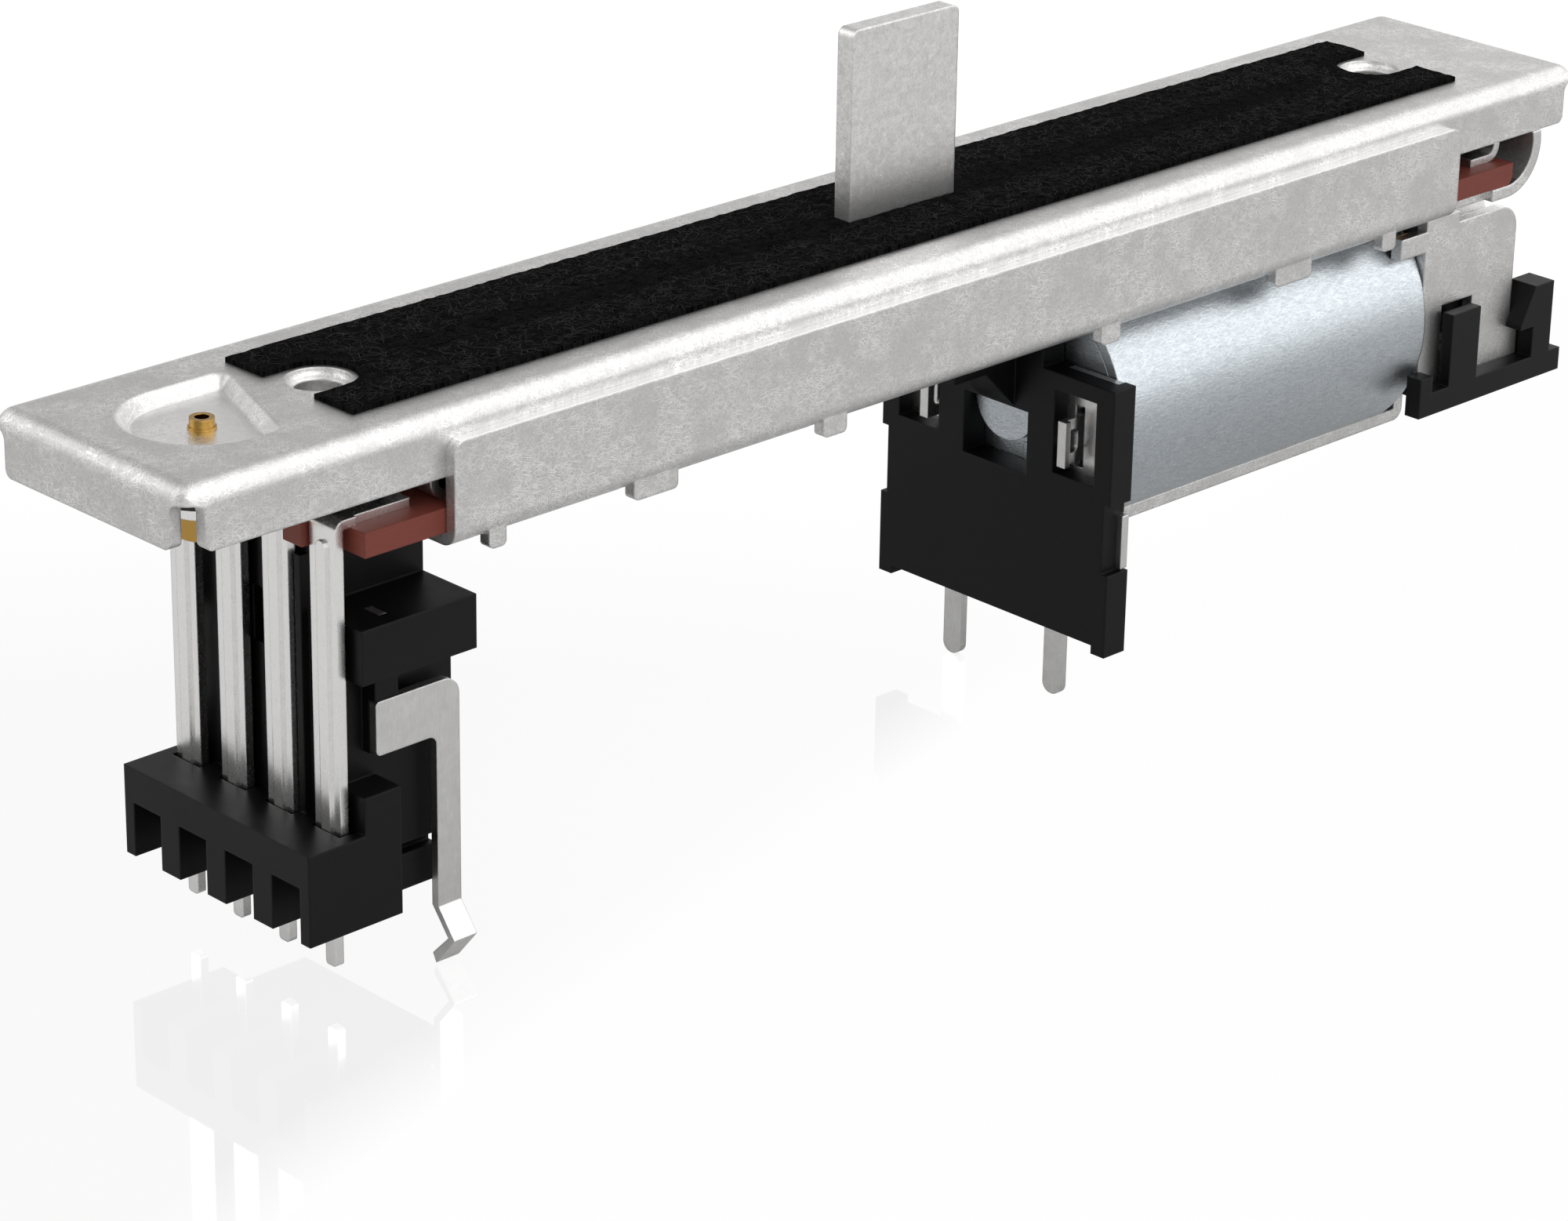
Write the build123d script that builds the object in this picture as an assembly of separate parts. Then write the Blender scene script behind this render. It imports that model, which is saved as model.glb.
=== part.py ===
from build123d import *
import math
import os

# Motorized fader of 60 mm travel, in millimetres. Two sheet-metal channels hold a carriage on two
# rods; a toothed belt, a crown wheel and a small motor below drive it. The origin lies midway
# between the two mounting holes on the upper face. X runs along the travel to the motor's end.

# Fits
FIT = 0.02                    # between pieces that are pressed or riveted together
RUNNING = 0.05                # between a bore and what turns or slides in it
AIR = 0.2                     # between pieces that must not touch

# Upper channel, a folded steel sheet, open below
SHEET = 0.7
BEND_RADIUS = 1.0
CHANNEL_LEFT = -54.2
CHANNEL_RIGHT = 50.2
CHANNEL_WIDTH = 15.3
CHANNEL_DEPTH = 3.33
CORNER_GAP = 1.2              # how far each flange stops short of a corner
CORNER_GAP_TOP = 0.9
CORNER_GAP_ROUND = 0.6
FLANGE_CORNER_RADIUS = 0.45

# Mounting holes, drawn down into the sheet and tapped M3
MOUNT_PITCH = 80.0
MOUNT_BORE_RADIUS = 1.25
MOUNT_ENTRY_ROUND = 0.45
COLLAR_WALL = 0.6
COLLAR_DEPTH = 1.4

# Pressed recess round the idler's axle
RECESS_RADIUS = 4.1
RECESS_REACH = 4.7
RECESS_SLANT = 3.1
RECESS_DEPTH = 0.7
RECESS_SLOPE = 40
RECESS_CORNER_RADIUS = 0.7
RECESS_SOFT_EDGE = 0.25

# Lever and travel
TRAVEL = 60.0
LEVER_WIDTH = 8.0
LEVER_THICKNESS = 1.15
LEVER_TOP = 10.85
LEVER_CORNER_RADIUS = 0.45
LEVER_ROOT = -3.9

# Dust felt
FELT_THICKNESS = 0.3
FELT_END_REACH = 1.9          # past the middle of each mounting hole
FELT_HALF_WIDTH = 4.94
FELT_NOTCH_RADIUS = 2.0
SLIT_GAP = 0.04               # between the lever and each side of the slit
SLIT_END_GAP = 0.5

# Lower channel, wrapped round the outside of the upper one
LOWER_LEFT = -38.4
LOWER_RIGHT = 38.5
LOWER_WALL_TOP = -1.35
LOWER_UNDERSIDE = -6.95
WALL_CORNER_RADIUS = 0.75
NECK_HALF_WIDTH = 7.15
NECK_END = 42.65
CURL_HALF_WIDTH = 7.75
CURL_X = 44.05
CURL_OUTER_RADIUS = 2.9
CURL_TIP_Z = -2.4
CURL_BUTT_GAP = 0.02
TAB_THICKNESS = 0.7
TAB_DROP = 0.65
TAB_CORNER_RADIUS = 0.3
TAB_INSET = 0.15
TAB_PLACES = ((-35.55, 1.1), (-25.0, 3.0), (-12.35, 1.7), (8.85, 1.5), (24.15, 3.1), (32.6, 1.2))
TAB_NOTCH = 0.8

# Resistor board of phenolic paper
BOARD_THICKNESS = 1.3
BOARD_LEFT = -43.45
BOARD_RIGHT = 44.6
BOARD_END_ROUND = 0.5
BOARD_SIDE_GAP = 0.05
FINGER_REACH = 1.35
FINGER_WIDTH = 1.45
TRACK_THICKNESS = 0.1
TRACK_WIDTH = 1.6

# Guide rods and the brackets that hold them
ROD_RADIUS = 0.9
ROD_Y = 5.3
ROD_Z = -2.6
BRACKET_SHEET = 0.5
BRACKET_HALF_WIDTH = 6.63
BRACKET_EAR_INNER = 3.6
BRACKET_EAR_REACH = 3.6
BRACKET_FOOT_REACH = 2.6
BRACKET_BEND = 1.0
LEFT_WEB_X = -38.5
RIGHT_WEB_X = 44.4
SCREW_STOP_TOP = -1.75
SCREW_STOP_HALF_WIDTH = 2.9
SCREW_STOP_REACH = 3.8

# Carriage
CARRIAGE_HALF_LENGTH = 7.0
CARRIAGE_HALF_WIDTH = 6.5
CARRIAGE_TOP = -1.3
CARRIAGE_BOTTOM = -4.3
CARRIAGE_EDGE_RADIUS = 0.4
BOSS_HALF_LENGTH = 4.8
BOSS_HALF_WIDTH = 1.15
BOSS_TOP = -0.15
BOSS_SIDE_GAP = 0.35
CLAMP_HALF_LENGTH = 2.5
CLAMP_THICKNESS = 0.3
CLAMP_LAP = 0.4
WIPER_SHEET = 0.12
WIPER_WIDTH = 1.2
WIPER_HALF_LENGTH = 2.8
WIPER_REACH = 2.7
WIPER_GAP = 0.02
WIPER_SIDE_GAP = 0.0035         # from the clamp's edge to the wiper beside it

# Toothed belt and its pulleys
BELT_PITCH = 1.0
PULLEY_TEETH = 16
BELT_WIDTH = 1.5
BELT_TOP = -2.45
BELT_BACK = 0.4
BELT_PITCH_LINE = 0.15        # from the pitch line in to the foot of the belt's teeth
BELT_TOOTH_HEIGHT = 0.3
BELT_TOOTH_WIDTH = 0.5
BELT_SIDE_GAP = 0.3
PULLEY_TOOTH_DEPTH = 0.35
PULLEY_TIP_WIDTH = 0.34
PULLEY_FOOT_WIDTH = 0.51
PULLEY_FLANGE_RADIUS = 2.95
PULLEY_FLANGE = 0.3
IDLER_X = -47.2
DRIVE_X = 42.0

# Idler's hollow brass axle
AXLE_RADIUS = 0.635
AXLE_BORE_RADIUS = 0.375
AXLE_TOP = -0.15
AXLE_FOOT_RADIUS = 0.72
AXLE_FOOT_HEIGHT = 0.1
AXLE_HEAD_RADIUS = 1.45
AXLE_HEAD_TOP = -4.8
AXLE_HEAD_BOTTOM = -6.1
WASHER_RADIUS = 1.9
WASHER_THICKNESS = 0.65

# Upright drive shaft, its bushing and the crown wheel
DRIVE_SHAFT_RADIUS = 0.75
BUSH_RADIUS = 1.4
BUSH_FLANGE_RADIUS = 2.1
BUSH_FLANGE = 0.5
GEAR_MODULE = 0.3
PINION_TEETH = 10
CROWN_TEETH = 20
CROWN_FACE = 0.6
CROWN_DISC = 0.85
CROWN_HUB_RADIUS = 1.35
PINION_LENGTH = 0.75
PRESSURE_ANGLE = 20
BACKLASH = 0.16
GEAR_ADDENDUM = 0.8           # in modules
GEAR_DEDENDUM = 1.15

# Motor: a round can with two flats, lying along X below the channel
MOTOR_Z = -13.4
CAN_RADIUS = 8.05
CAN_HEIGHT = 12.0
CAN_LEFT = 10.4
CAN_RIGHT = 36.95
CAN_WALL = 0.6
CAN_EDGE_RADIUS = 0.4
CAN_PAD_RADIUS = 5.2
END_PLATE_THICKNESS = 0.8
END_BOSS_RADIUS = 2.3
END_BOSS_X = 9.38
STAMP_Y = -1.5
STAMP_DROP = 3.05
STAMP_WIDTH = 1.8
STAMP_HEIGHT = 1.1
STAMP_CORNER = 0.25
STAMP_PROUD = 0.1
MOTOR_SHAFT_RADIUS = 0.75
BEARING_RADIUS = 1.5
BEARING_LENGTH = 1.5
MAGNET_INNER_RADIUS = 5.45
MAGNET_HALF_ANGLE = 38
MAGNET_LEFT = 15.0
MAGNET_RIGHT = 34.0
CORE_RADIUS = 5.0
CORE_LEFT = 18.0
CORE_RIGHT = 31.0
CORE_HUB_RADIUS = 1.9
CORE_NECK = 1.8
CORE_SHOE = 1.0
CORE_SHOE_ANGLE = 96
POLES = 3
WINDING_BULGE = 1.3
COMMUTATOR_RADIUS = 1.6
COMMUTATOR_LENGTH = 2.4
BRUSH_WIDTH = 1.4
BRUSH_HOLDER_THICKNESS = 1.4

# Motor terminals and the contact strips that end in the two motor pins
MOTOR_TAB_Y = 5.2
MOTOR_TAB_THICKNESS = 0.3
MOTOR_TAB_END_X = 8.3
MOTOR_TAB_TOP = -12.9
MOTOR_TAB_BOTTOM = -15.6
MOTOR_TAB_FOLD = 0.4
MOTOR_TAB_EYE_X = 9.22
MOTOR_TAB_EYE = (0.8, 1.4)
CONTACT_X = 9.75
CONTACT_THICKNESS = 0.5
CONTACT_INNER_Y = 4.35
CONTACT_OUTER_Y = 8.1
EAR_TOP = -17.9
EAR_BOTTOM = -21.05
EAR_Y = 8.85
MOTOR_PIN_Y = 3.96
MOTOR_PIN_WIDTH = 1.35
MOTOR_PIN_TIP = -30.22

# Black moulded plate in front of the motor
PLATE_FRONT_X = 8.6
PLATE_BACK_X = 10.3
PLATE_HALF_WIDTH = 8.9
PLATE_SHOULDER_Z = -10.25
PLATE_CENTRE_HALF_WIDTH = 3.45
PLATE_BOTTOM = -25.65
PLATE_FOOT_WIDTH = 1.0
PLATE_FOOT_DROP = 0.5
SIDE_RECESS_TOP = -17.05
SIDE_RECESS_BOTTOM = -21.2
SIDE_RECESS_DEPTH = 0.47
CENTRE_WINDOW_HALF_WIDTH = 2.47
CENTRE_WINDOW_TOP = -13.2
CENTRE_WINDOW_BOTTOM = -16.95
SIDE_WINDOW_INNER_Y = 4.45
SIDE_WINDOW_OUTER_Y = 7.6
SIDE_WINDOW_TOP = -11.25
SIDE_WINDOW_BOTTOM = -16.2
ARM_HALF_WIDTH = 1.38
ARM_REACH_X = 3.7
ARM_BOTTOM = -10.7
GUSSET_LEG = 2.4

# Motor bracket, folded from one sheet
MOUNT_SHEET = 0.75
CRADLE_HALF_WIDTH = 5.3
CRADLE_TOP = -19.45
REAR_UPRIGHT_HALF_WIDTH = 4.2
REAR_UPRIGHT_TOP = -17.4
UPRIGHT_X = 38.5              # right face of the upright that carries the motor
CHEEK_Y = 7.5                 # outer face of the two side plates
CHEEK_LEFT = 37.0
CHEEK_TOP = -7.65
CHEEK_RIGHT = 45.5
CHEEK_CORNER_RADIUS = 1.5
CHEEK_BOTTOM = -17.35
CHEEK_FOOT_TOP = -15.5
CHEEK_FOOT_END = 46.3
NECK_RIGHT_X = 40.0
SHOULDER_LEFT_X = 34.7
SHOULDER_BOTTOM = -8.9
CATCH_SLOT_LEFT = 38.85
CATCH_SLOT_RIGHT = 41.7
CATCH_SLOT_TOP = -12.6
CATCH_SLOT_BOTTOM = -15.4
NECK_FLANGE_REACH = 2.2
MOTOR_SCREW_Y = 5.0
SCREW_RADIUS = 0.85
SCREW_HEAD_RADIUS = 1.6
SCREW_HEAD = 0.7

# Snap-on gear cover
COVER_Y = 8.65
COVER_LEFT = 35.9
COVER_RIGHT = 49.2
COVER_FLOOR = 1.4
COVER_LUG_INNER_Y = 7.6
UPSTAND_WIDTH = 1.1
UPSTAND_TOP = -16.3
PRONG_THICKNESS = 0.75
PRONG_TOP = -12.85
PRONG_WIDTH = 2.6
CATCH_HEIGHT = 1.45
HOOK_PRONG_LEFT = 46.4
HOOK_PRONG_RIGHT = 48.15
HOOK_REACH = 1.2
HOOK_CATCH_REACH = 0.8
HOOK_GAP = 0.1
HOOK_LIP = 0.25

# Signal terminals
TERMINAL_COUNT = 4
TERMINAL_PITCH = 3.71
TERMINAL_WIDTH = 1.97
TERMINAL_SHEET = 0.5
TERMINAL_X = -44.45           # front face
TERMINAL_STRIP_END = -39.6
TERMINAL_BEND = 0.6
TERMINAL_STEP_X = -43.1
TERMINAL_STEP = 0.2
TERMINAL_RIB_WIDTH = 0.7
TERMINAL_RIB_HEIGHT = 0.16
TERMINAL_RIB_TOP = -5.6
PIN_WIDTH = 0.8
PIN_TIP = -28.5
PIN_TIP_RADIUS = 0.2

# Black moulded terminal holder
COMB_LEFT = -47.2
COMB_RIGHT = -41.3
COMB_HALF_WIDTH = 7.4
COMB_TOP = -21.02
COMB_BOTTOM = -25.96
COMB_SLOT_WIDTH = 2.2
COMB_SLOT_TOP = -22.95
COMB_SLOT_DEPTH = 3.9
POCKET_WIDTH = 2.24
POCKET_DEPTH = 1.4
WALL_X = -43.6
WALL_TOP = -10.15
WALL_WINDOW_HALF_WIDTH = 1.0
WALL_WINDOW_BOTTOM = -13.1
CORNER_BLOCK_WIDTH = 1.95
CORNER_BLOCK_TOP = -19.0
TOWER_FRONT_Y = -3.35
TOWER_RIGHT = -36.3
RIB_WIDTH = 0.45
RIB_TOP = -7.2
RIB_DEPTH = 0.5
LEDGE_TOP = -10.1
LEDGE_BOTTOM = -13.0
FLANK_HALF_WIDTH = 5.4
FLANK_STEP_Z = -15.5
FLANK_RIGHT = -37.4
GROOVE_TOP = -23.4
GROOVE_BOTTOM = -24.0
GROOVE_DEPTH = 0.6
PAD_RIGHT = -40.6
PAD_THICKNESS = 1.05
PEG_RADIUS = 0.65
PEG_PLACES = (-42.2, -40.4)
PEG_PROUD = 0.35

# Ground strip on the holder's front side
GROUND_SHEET = 0.5
GROUND_Y = -6.5               # outer face
FLAG_LEFT = -42.05
FLAG_RIGHT = -36.7
FLAG_TOP = -14.6
FLAG_BOTTOM = -17.5
FLAG_CORNER_RADIUS = 1.0
LEG_WIDTH = 1.5
TANG_X = -41.6
TANG_REACH = 1.3
KINK_TOP = -27.0
KINK_OUT = 1.2
KINK_Z = -28.5
GROUND_TIP = -30.22

# Levels and places that follow from the values above
CHANNEL_HALF = CHANNEL_WIDTH / 2
UNDER_SKIN = -SHEET
LOWER_HALF = CHANNEL_HALF + SHEET
FLOOR_TOP = LOWER_UNDERSIDE + SHEET
BOARD_BOTTOM = FLOOR_TOP
BOARD_TOP = BOARD_BOTTOM + BOARD_THICKNESS
BOARD_HALF = CHANNEL_HALF - BOARD_SIDE_GAP
MOUNT_X = MOUNT_PITCH / 2
FELT_HALF_LENGTH = MOUNT_X + FELT_END_REACH
RECESS_UNDERSIDE = -RECESS_DEPTH - SHEET
PITCH_RADIUS = PULLEY_TEETH * BELT_PITCH / (2 * math.pi)
BELT_FOOT_RADIUS = PITCH_RADIUS - BELT_PITCH_LINE
BELT_BACK_RADIUS = BELT_FOOT_RADIUS + BELT_BACK
CLAMP_OUTER = BELT_BACK_RADIUS + BELT_SIDE_GAP + CLAMP_LAP
TRACK_Y = CLAMP_OUTER + WIPER_SIDE_GAP + WIPER_WIDTH / 2
BELT_BOTTOM = BELT_TOP - BELT_WIDTH
PULLEY_TIP_RADIUS = BELT_FOOT_RADIUS - RUNNING
PULLEY_TOP = BELT_TOP + RUNNING + PULLEY_FLANGE
PULLEY_BOTTOM = BELT_BOTTOM - RUNNING
PINION_RADIUS = GEAR_MODULE * PINION_TEETH / 2
CROWN_RADIUS = GEAR_MODULE * CROWN_TEETH / 2
CROWN_PITCH_Z = MOTOR_Z + PINION_RADIUS
CROWN_ROOT_Z = CROWN_PITCH_Z + GEAR_DEDENDUM * GEAR_MODULE
CROWN_TOP = CROWN_ROOT_Z + CROWN_DISC
PINION_X = DRIVE_X - CROWN_RADIUS
CAN_HALF = CAN_HEIGHT / 2
CRADLE_BOTTOM = CRADLE_TOP - MOUNT_SHEET
UPRIGHT_LEFT = UPRIGHT_X - MOUNT_SHEET
CHEEK_INNER = CHEEK_Y - MOUNT_SHEET
TERMINAL_BACK = TERMINAL_X + TERMINAL_SHEET
TERMINAL_TOP = BOARD_TOP + TERMINAL_SHEET


def block(x, y, z):
    """A block between two limits along each axis."""
    middle = Pos((x[0] + x[1]) / 2, (y[0] + y[1]) / 2, (z[0] + z[1]) / 2)
    return middle * Box(x[1] - x[0], y[1] - y[0], z[1] - z[0])


def upright_bar(radius, x, y, low, high):
    """A round bar along Z."""
    return Pos(x, y, (low + high) / 2) * Cylinder(radius, high - low)


def lying_bar(radius, left, right, y, z):
    """A round bar along X."""
    return Pos((left + right) / 2, y, z) * Rot(0, 90, 0) * Cylinder(radius, right - left)


def rounded(points):
    """A straight-sided face; a third number beside a point rounds that corner."""
    face = Polygon(*[point[:2] for point in points], align=None)
    for point in points:
        if len(point) == 3:
            face = fillet(face.vertices().sort_by_distance((point[0], point[1]))[0], point[2])
    return face


def side_profile(points, y):
    """An outline in X and Z, extruded between two values of Y."""
    return extrude(Plane.XZ.offset(-y[1]) * rounded(points), amount=y[1] - y[0], dir=(0, -1, 0))


def end_profile(points, x):
    """An outline in Y and Z, extruded between two values of X."""
    return extrude(Plane.YZ.offset(x[0]) * rounded(points), amount=x[1] - x[0], dir=(1, 0, 0))


def both_sides(solid):
    """The solid and its mirror image on the other side of the middle plane."""
    return solid + mirror(solid, about=Plane.XZ)


def joined(solids):
    """One shape from a list of solids."""
    whole = solids[0]
    for solid in solids[1:]:
        whole = whole + solid
    return whole


def recess_outline():
    """The recess seen from above: a half circle that runs on into a slanted nose."""
    far_side = Polyline(
        (0, -RECESS_RADIUS),
        (RECESS_REACH - RECESS_SLANT, -RECESS_RADIUS),
        (RECESS_REACH, RECESS_RADIUS),
        (0, RECESS_RADIUS),
    )
    near_side = ThreePointArc((0, RECESS_RADIUS), (-RECESS_RADIUS, 0), (0, -RECESS_RADIUS))
    face = make_face(far_side + near_side)
    corners = [v for v in face.vertices() if v.X > RECESS_SOFT_EDGE]
    return Pos(IDLER_X, 0) * fillet(corners, RECESS_CORNER_RADIUS)


def make_top_channel():
    """Folded sheet with a slot for the lever, two drawn holes and the pressed recess."""
    x = (CHANNEL_LEFT, CHANNEL_RIGHT)
    y = (-CHANNEL_HALF, CHANNEL_HALF)
    outer = block(x, y, (-CHANNEL_DEPTH, 0))
    bends = outer.edges().filter_by(Axis.Z) + outer.faces().sort_by(Axis.Z)[-1].edges()
    outer = fillet(bends, BEND_RADIUS)
    hollow = block(
        (x[0] + SHEET, x[1] - SHEET),
        (y[0] + SHEET, y[1] - SHEET),
        (-CHANNEL_DEPTH - SHEET, UNDER_SKIN),
    )
    inside_bends = hollow.edges().filter_by(Axis.Z) + hollow.faces().sort_by(Axis.Z)[-1].edges()
    channel = outer - fillet(inside_bends, BEND_RADIUS - SHEET)

    for corner_x in x:
        for corner_y in y:
            gap = Pos(corner_x, corner_y, -CORNER_GAP_TOP - CHANNEL_DEPTH / 2)
            gap = gap * Box(2 * CORNER_GAP, 2 * CORNER_GAP, CHANNEL_DEPTH)
            channel -= fillet(gap.faces().sort_by(Axis.Z)[-1].edges(), CORNER_GAP_ROUND)
    flange_ends = [
        edge
        for edge in channel.edges()
        if edge.length < SHEET + FIT and abs(edge.center().Z + CHANNEL_DEPTH) < FIT
    ]
    channel = fillet(flange_ends, FLANGE_CORNER_RADIUS)

    slot_half = TRAVEL / 2 + BOSS_HALF_LENGTH + BOSS_HALF_WIDTH + 2 * BOSS_SIDE_GAP
    slot = SlotOverall(2 * slot_half, 2 * (BOSS_HALF_WIDTH + BOSS_SIDE_GAP))
    channel -= extrude(slot, amount=-CHANNEL_DEPTH)

    for side in (-1, 1):
        place = side * MOUNT_X
        collar_radius = MOUNT_BORE_RADIUS + COLLAR_WALL
        channel += upright_bar(collar_radius, place, 0, -COLLAR_DEPTH, UNDER_SKIN)
        channel -= Pos(place, 0, 0) * mounting_bore()

    dish = extrude(recess_outline(), amount=RECESS_UNDERSIDE)
    channel += dish - upright_bar(2 * CHANNEL_WIDTH, IDLER_X, 0, UNDER_SKIN, 0)
    hollow = extrude(recess_outline(), amount=-RECESS_DEPTH, taper=RECESS_SLOPE)
    hollow = fillet(hollow.faces().sort_by(Axis.Z)[0].edges(), RECESS_SOFT_EDGE)
    channel -= hollow
    rim = [
        edge
        for edge in channel.faces().sort_by(Axis.Z)[-1].edges()
        if abs(edge.center().X - IDLER_X) < RECESS_REACH and abs(edge.center().Y) <= RECESS_RADIUS
    ]
    channel = fillet(rim, RECESS_SOFT_EDGE)
    channel -= upright_bar(AXLE_RADIUS + FIT, IDLER_X, 0, RECESS_UNDERSIDE, 0)
    return channel


def mounting_bore():
    """The tapped bore with its rounded entry, as a cutter at the origin."""
    bore = MOUNT_BORE_RADIUS
    entry = MOUNT_ENTRY_ROUND
    straight = Polyline((bore, -entry), (bore, -COLLAR_DEPTH), (0, -COLLAR_DEPTH), (0, 0), (bore + entry, 0))
    round_entry = RadiusArc((bore + entry, 0), (bore, -entry), entry)
    profile = Plane.XZ * make_face(straight + round_entry)
    return revolve(profile, Axis.Z)


def make_dust_felt():
    """Felt strip with a slit for the lever and a notch round each mounting hole."""
    felt = Rectangle(2 * FELT_HALF_LENGTH, 2 * FELT_HALF_WIDTH)
    slit_half = TRAVEL / 2 + LEVER_WIDTH / 2 + SLIT_END_GAP
    felt -= Rectangle(2 * slit_half, LEVER_THICKNESS + 2 * SLIT_GAP)
    notch_length = 2 * (FELT_END_REACH + FELT_NOTCH_RADIUS)
    for side in (-1, 1):
        notch = SlotOverall(notch_length + 2 * FELT_NOTCH_RADIUS, 2 * FELT_NOTCH_RADIUS)
        inner_end = MOUNT_X - FELT_NOTCH_RADIUS
        felt -= Pos(side * (inner_end + notch_length / 2 + FELT_NOTCH_RADIUS), 0) * notch
    return extrude(felt, amount=FELT_THICKNESS)


def make_lower_channel():
    """Folded sheet that closes the upper channel from below and curls up at the motor's end."""
    outer = block(
        (LOWER_LEFT, LOWER_RIGHT), (-LOWER_HALF, LOWER_HALF), (LOWER_UNDERSIDE, LOWER_WALL_TOP)
    )
    bends = outer.faces().sort_by(Axis.Z)[0].edges().filter_by(Axis.X)
    outer = fillet(bends, BEND_RADIUS)
    inside = (-CHANNEL_HALF, CHANNEL_HALF)
    channel = outer - block((LOWER_LEFT, LOWER_RIGHT), inside, (FLOOR_TOP, LOWER_WALL_TOP))
    wall_ends = [
        edge
        for edge in channel.edges().filter_by(Axis.Y)
        if abs(edge.center().Z - LOWER_WALL_TOP) < FIT and edge.length < SHEET + FIT
    ]
    channel = fillet(wall_ends, WALL_CORNER_RADIUS)

    level = (LOWER_UNDERSIDE, FLOOR_TOP)
    neck_y = (-NECK_HALF_WIDTH, NECK_HALF_WIDTH)
    curl_y = (-CURL_HALF_WIDTH, CURL_HALF_WIDTH)
    channel += block((LOWER_RIGHT, NECK_END), neck_y, level)
    channel += block((NECK_END, CURL_X), curl_y, level)
    channel += make_curl()
    for place, width in TAB_PLACES:
        channel += both_sides(hanging_tab(place, width))
        notch_x = (place - width / 2 - TAB_NOTCH, place - width / 2)
        notch_y = (-LOWER_HALF - SHEET, -CHANNEL_HALF)
        notch_z = (LOWER_UNDERSIDE - SHEET, LOWER_UNDERSIDE + SHEET / 2)
        channel -= both_sides(block(notch_x, notch_y, notch_z))
    channel -= upright_bar(BUSH_RADIUS + FIT, DRIVE_X, 0, LOWER_UNDERSIDE, FLOOR_TOP)
    return channel


def make_curl():
    """The floor's far end, rolled up through half a turn."""
    middle_z = LOWER_UNDERSIDE + CURL_OUTER_RADIUS
    centre = Pos(CURL_X, 0, middle_z) * Rot(90, 0, 0)
    roll = Cylinder(CURL_OUTER_RADIUS, 2 * CURL_HALF_WIDTH)
    roll -= Cylinder(CURL_OUTER_RADIUS - SHEET, 2 * CURL_HALF_WIDTH)
    roll = centre * roll
    x = (CURL_X, CURL_X + CURL_OUTER_RADIUS)
    butt_z = -CHANNEL_DEPTH - CURL_BUTT_GAP
    wide_half = block(x, (-CURL_HALF_WIDTH, CURL_HALF_WIDTH), (LOWER_UNDERSIDE, butt_z))
    narrow = CHANNEL_HALF - SHEET - AIR
    tip = block(x, (-narrow, narrow), (butt_z, CURL_TIP_Z))
    return (roll & wide_half) + (roll & tip)


def hanging_tab(place, width):
    """One lanced tab that hangs below the front edge of the floor."""
    x = (place - width / 2, place + width / 2)
    outer_y = -LOWER_HALF + TAB_INSET
    bottom = LOWER_UNDERSIDE - TAB_DROP
    points = (
        (x[0], bottom, TAB_CORNER_RADIUS),
        (x[1], bottom, TAB_CORNER_RADIUS),
        (x[1], FLOOR_TOP),
        (x[0], FLOOR_TOP),
    )
    return side_profile(points, (outer_y, outer_y + TAB_THICKNESS))


def make_resistor_board():
    """Board with fingers between the terminals and a hole for the drive bushing."""
    board = block((BOARD_LEFT, BOARD_RIGHT), (-BOARD_HALF, BOARD_HALF), (BOARD_BOTTOM, BOARD_TOP))
    for number in range(TERMINAL_COUNT - 1):
        middle = terminal_y(number) - TERMINAL_PITCH / 2
        y = (middle - FINGER_WIDTH / 2, middle + FINGER_WIDTH / 2)
        board += block((BOARD_LEFT - FINGER_REACH, BOARD_LEFT), y, (BOARD_BOTTOM, BOARD_TOP))
    right_end = board.faces().sort_by(Axis.X)[-1].edges().sort_by(Axis.Z)[0]
    board = fillet(right_end, BOARD_END_ROUND)
    board -= upright_bar(BUSH_RADIUS + AIR, DRIVE_X, 0, BOARD_BOTTOM, BOARD_TOP)
    for place in PEG_PLACES:
        board -= upright_bar(PEG_RADIUS + FIT, place, 0, BOARD_BOTTOM, BOARD_TOP)
    return board


def make_carbon_tracks():
    """Two printed tracks that the wipers run on."""
    half = TRAVEL / 2 + WIPER_HALF_LENGTH + WIPER_REACH
    y = (-TRACK_Y - TRACK_WIDTH / 2, -TRACK_Y + TRACK_WIDTH / 2)
    return both_sides(block((-half, half), y, (BOARD_TOP, BOARD_TOP + TRACK_THICKNESS)))


def terminal_y(number):
    """Where a terminal stands; number 0 is at the back."""
    return ((TERMINAL_COUNT - 1) / 2 - number) * TERMINAL_PITCH


def make_guide_rod(y):
    """Ground rod, riveted flush into both end brackets."""
    return lying_bar(ROD_RADIUS, LEFT_WEB_X, RIGHT_WEB_X, y, ROD_Z)


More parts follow.
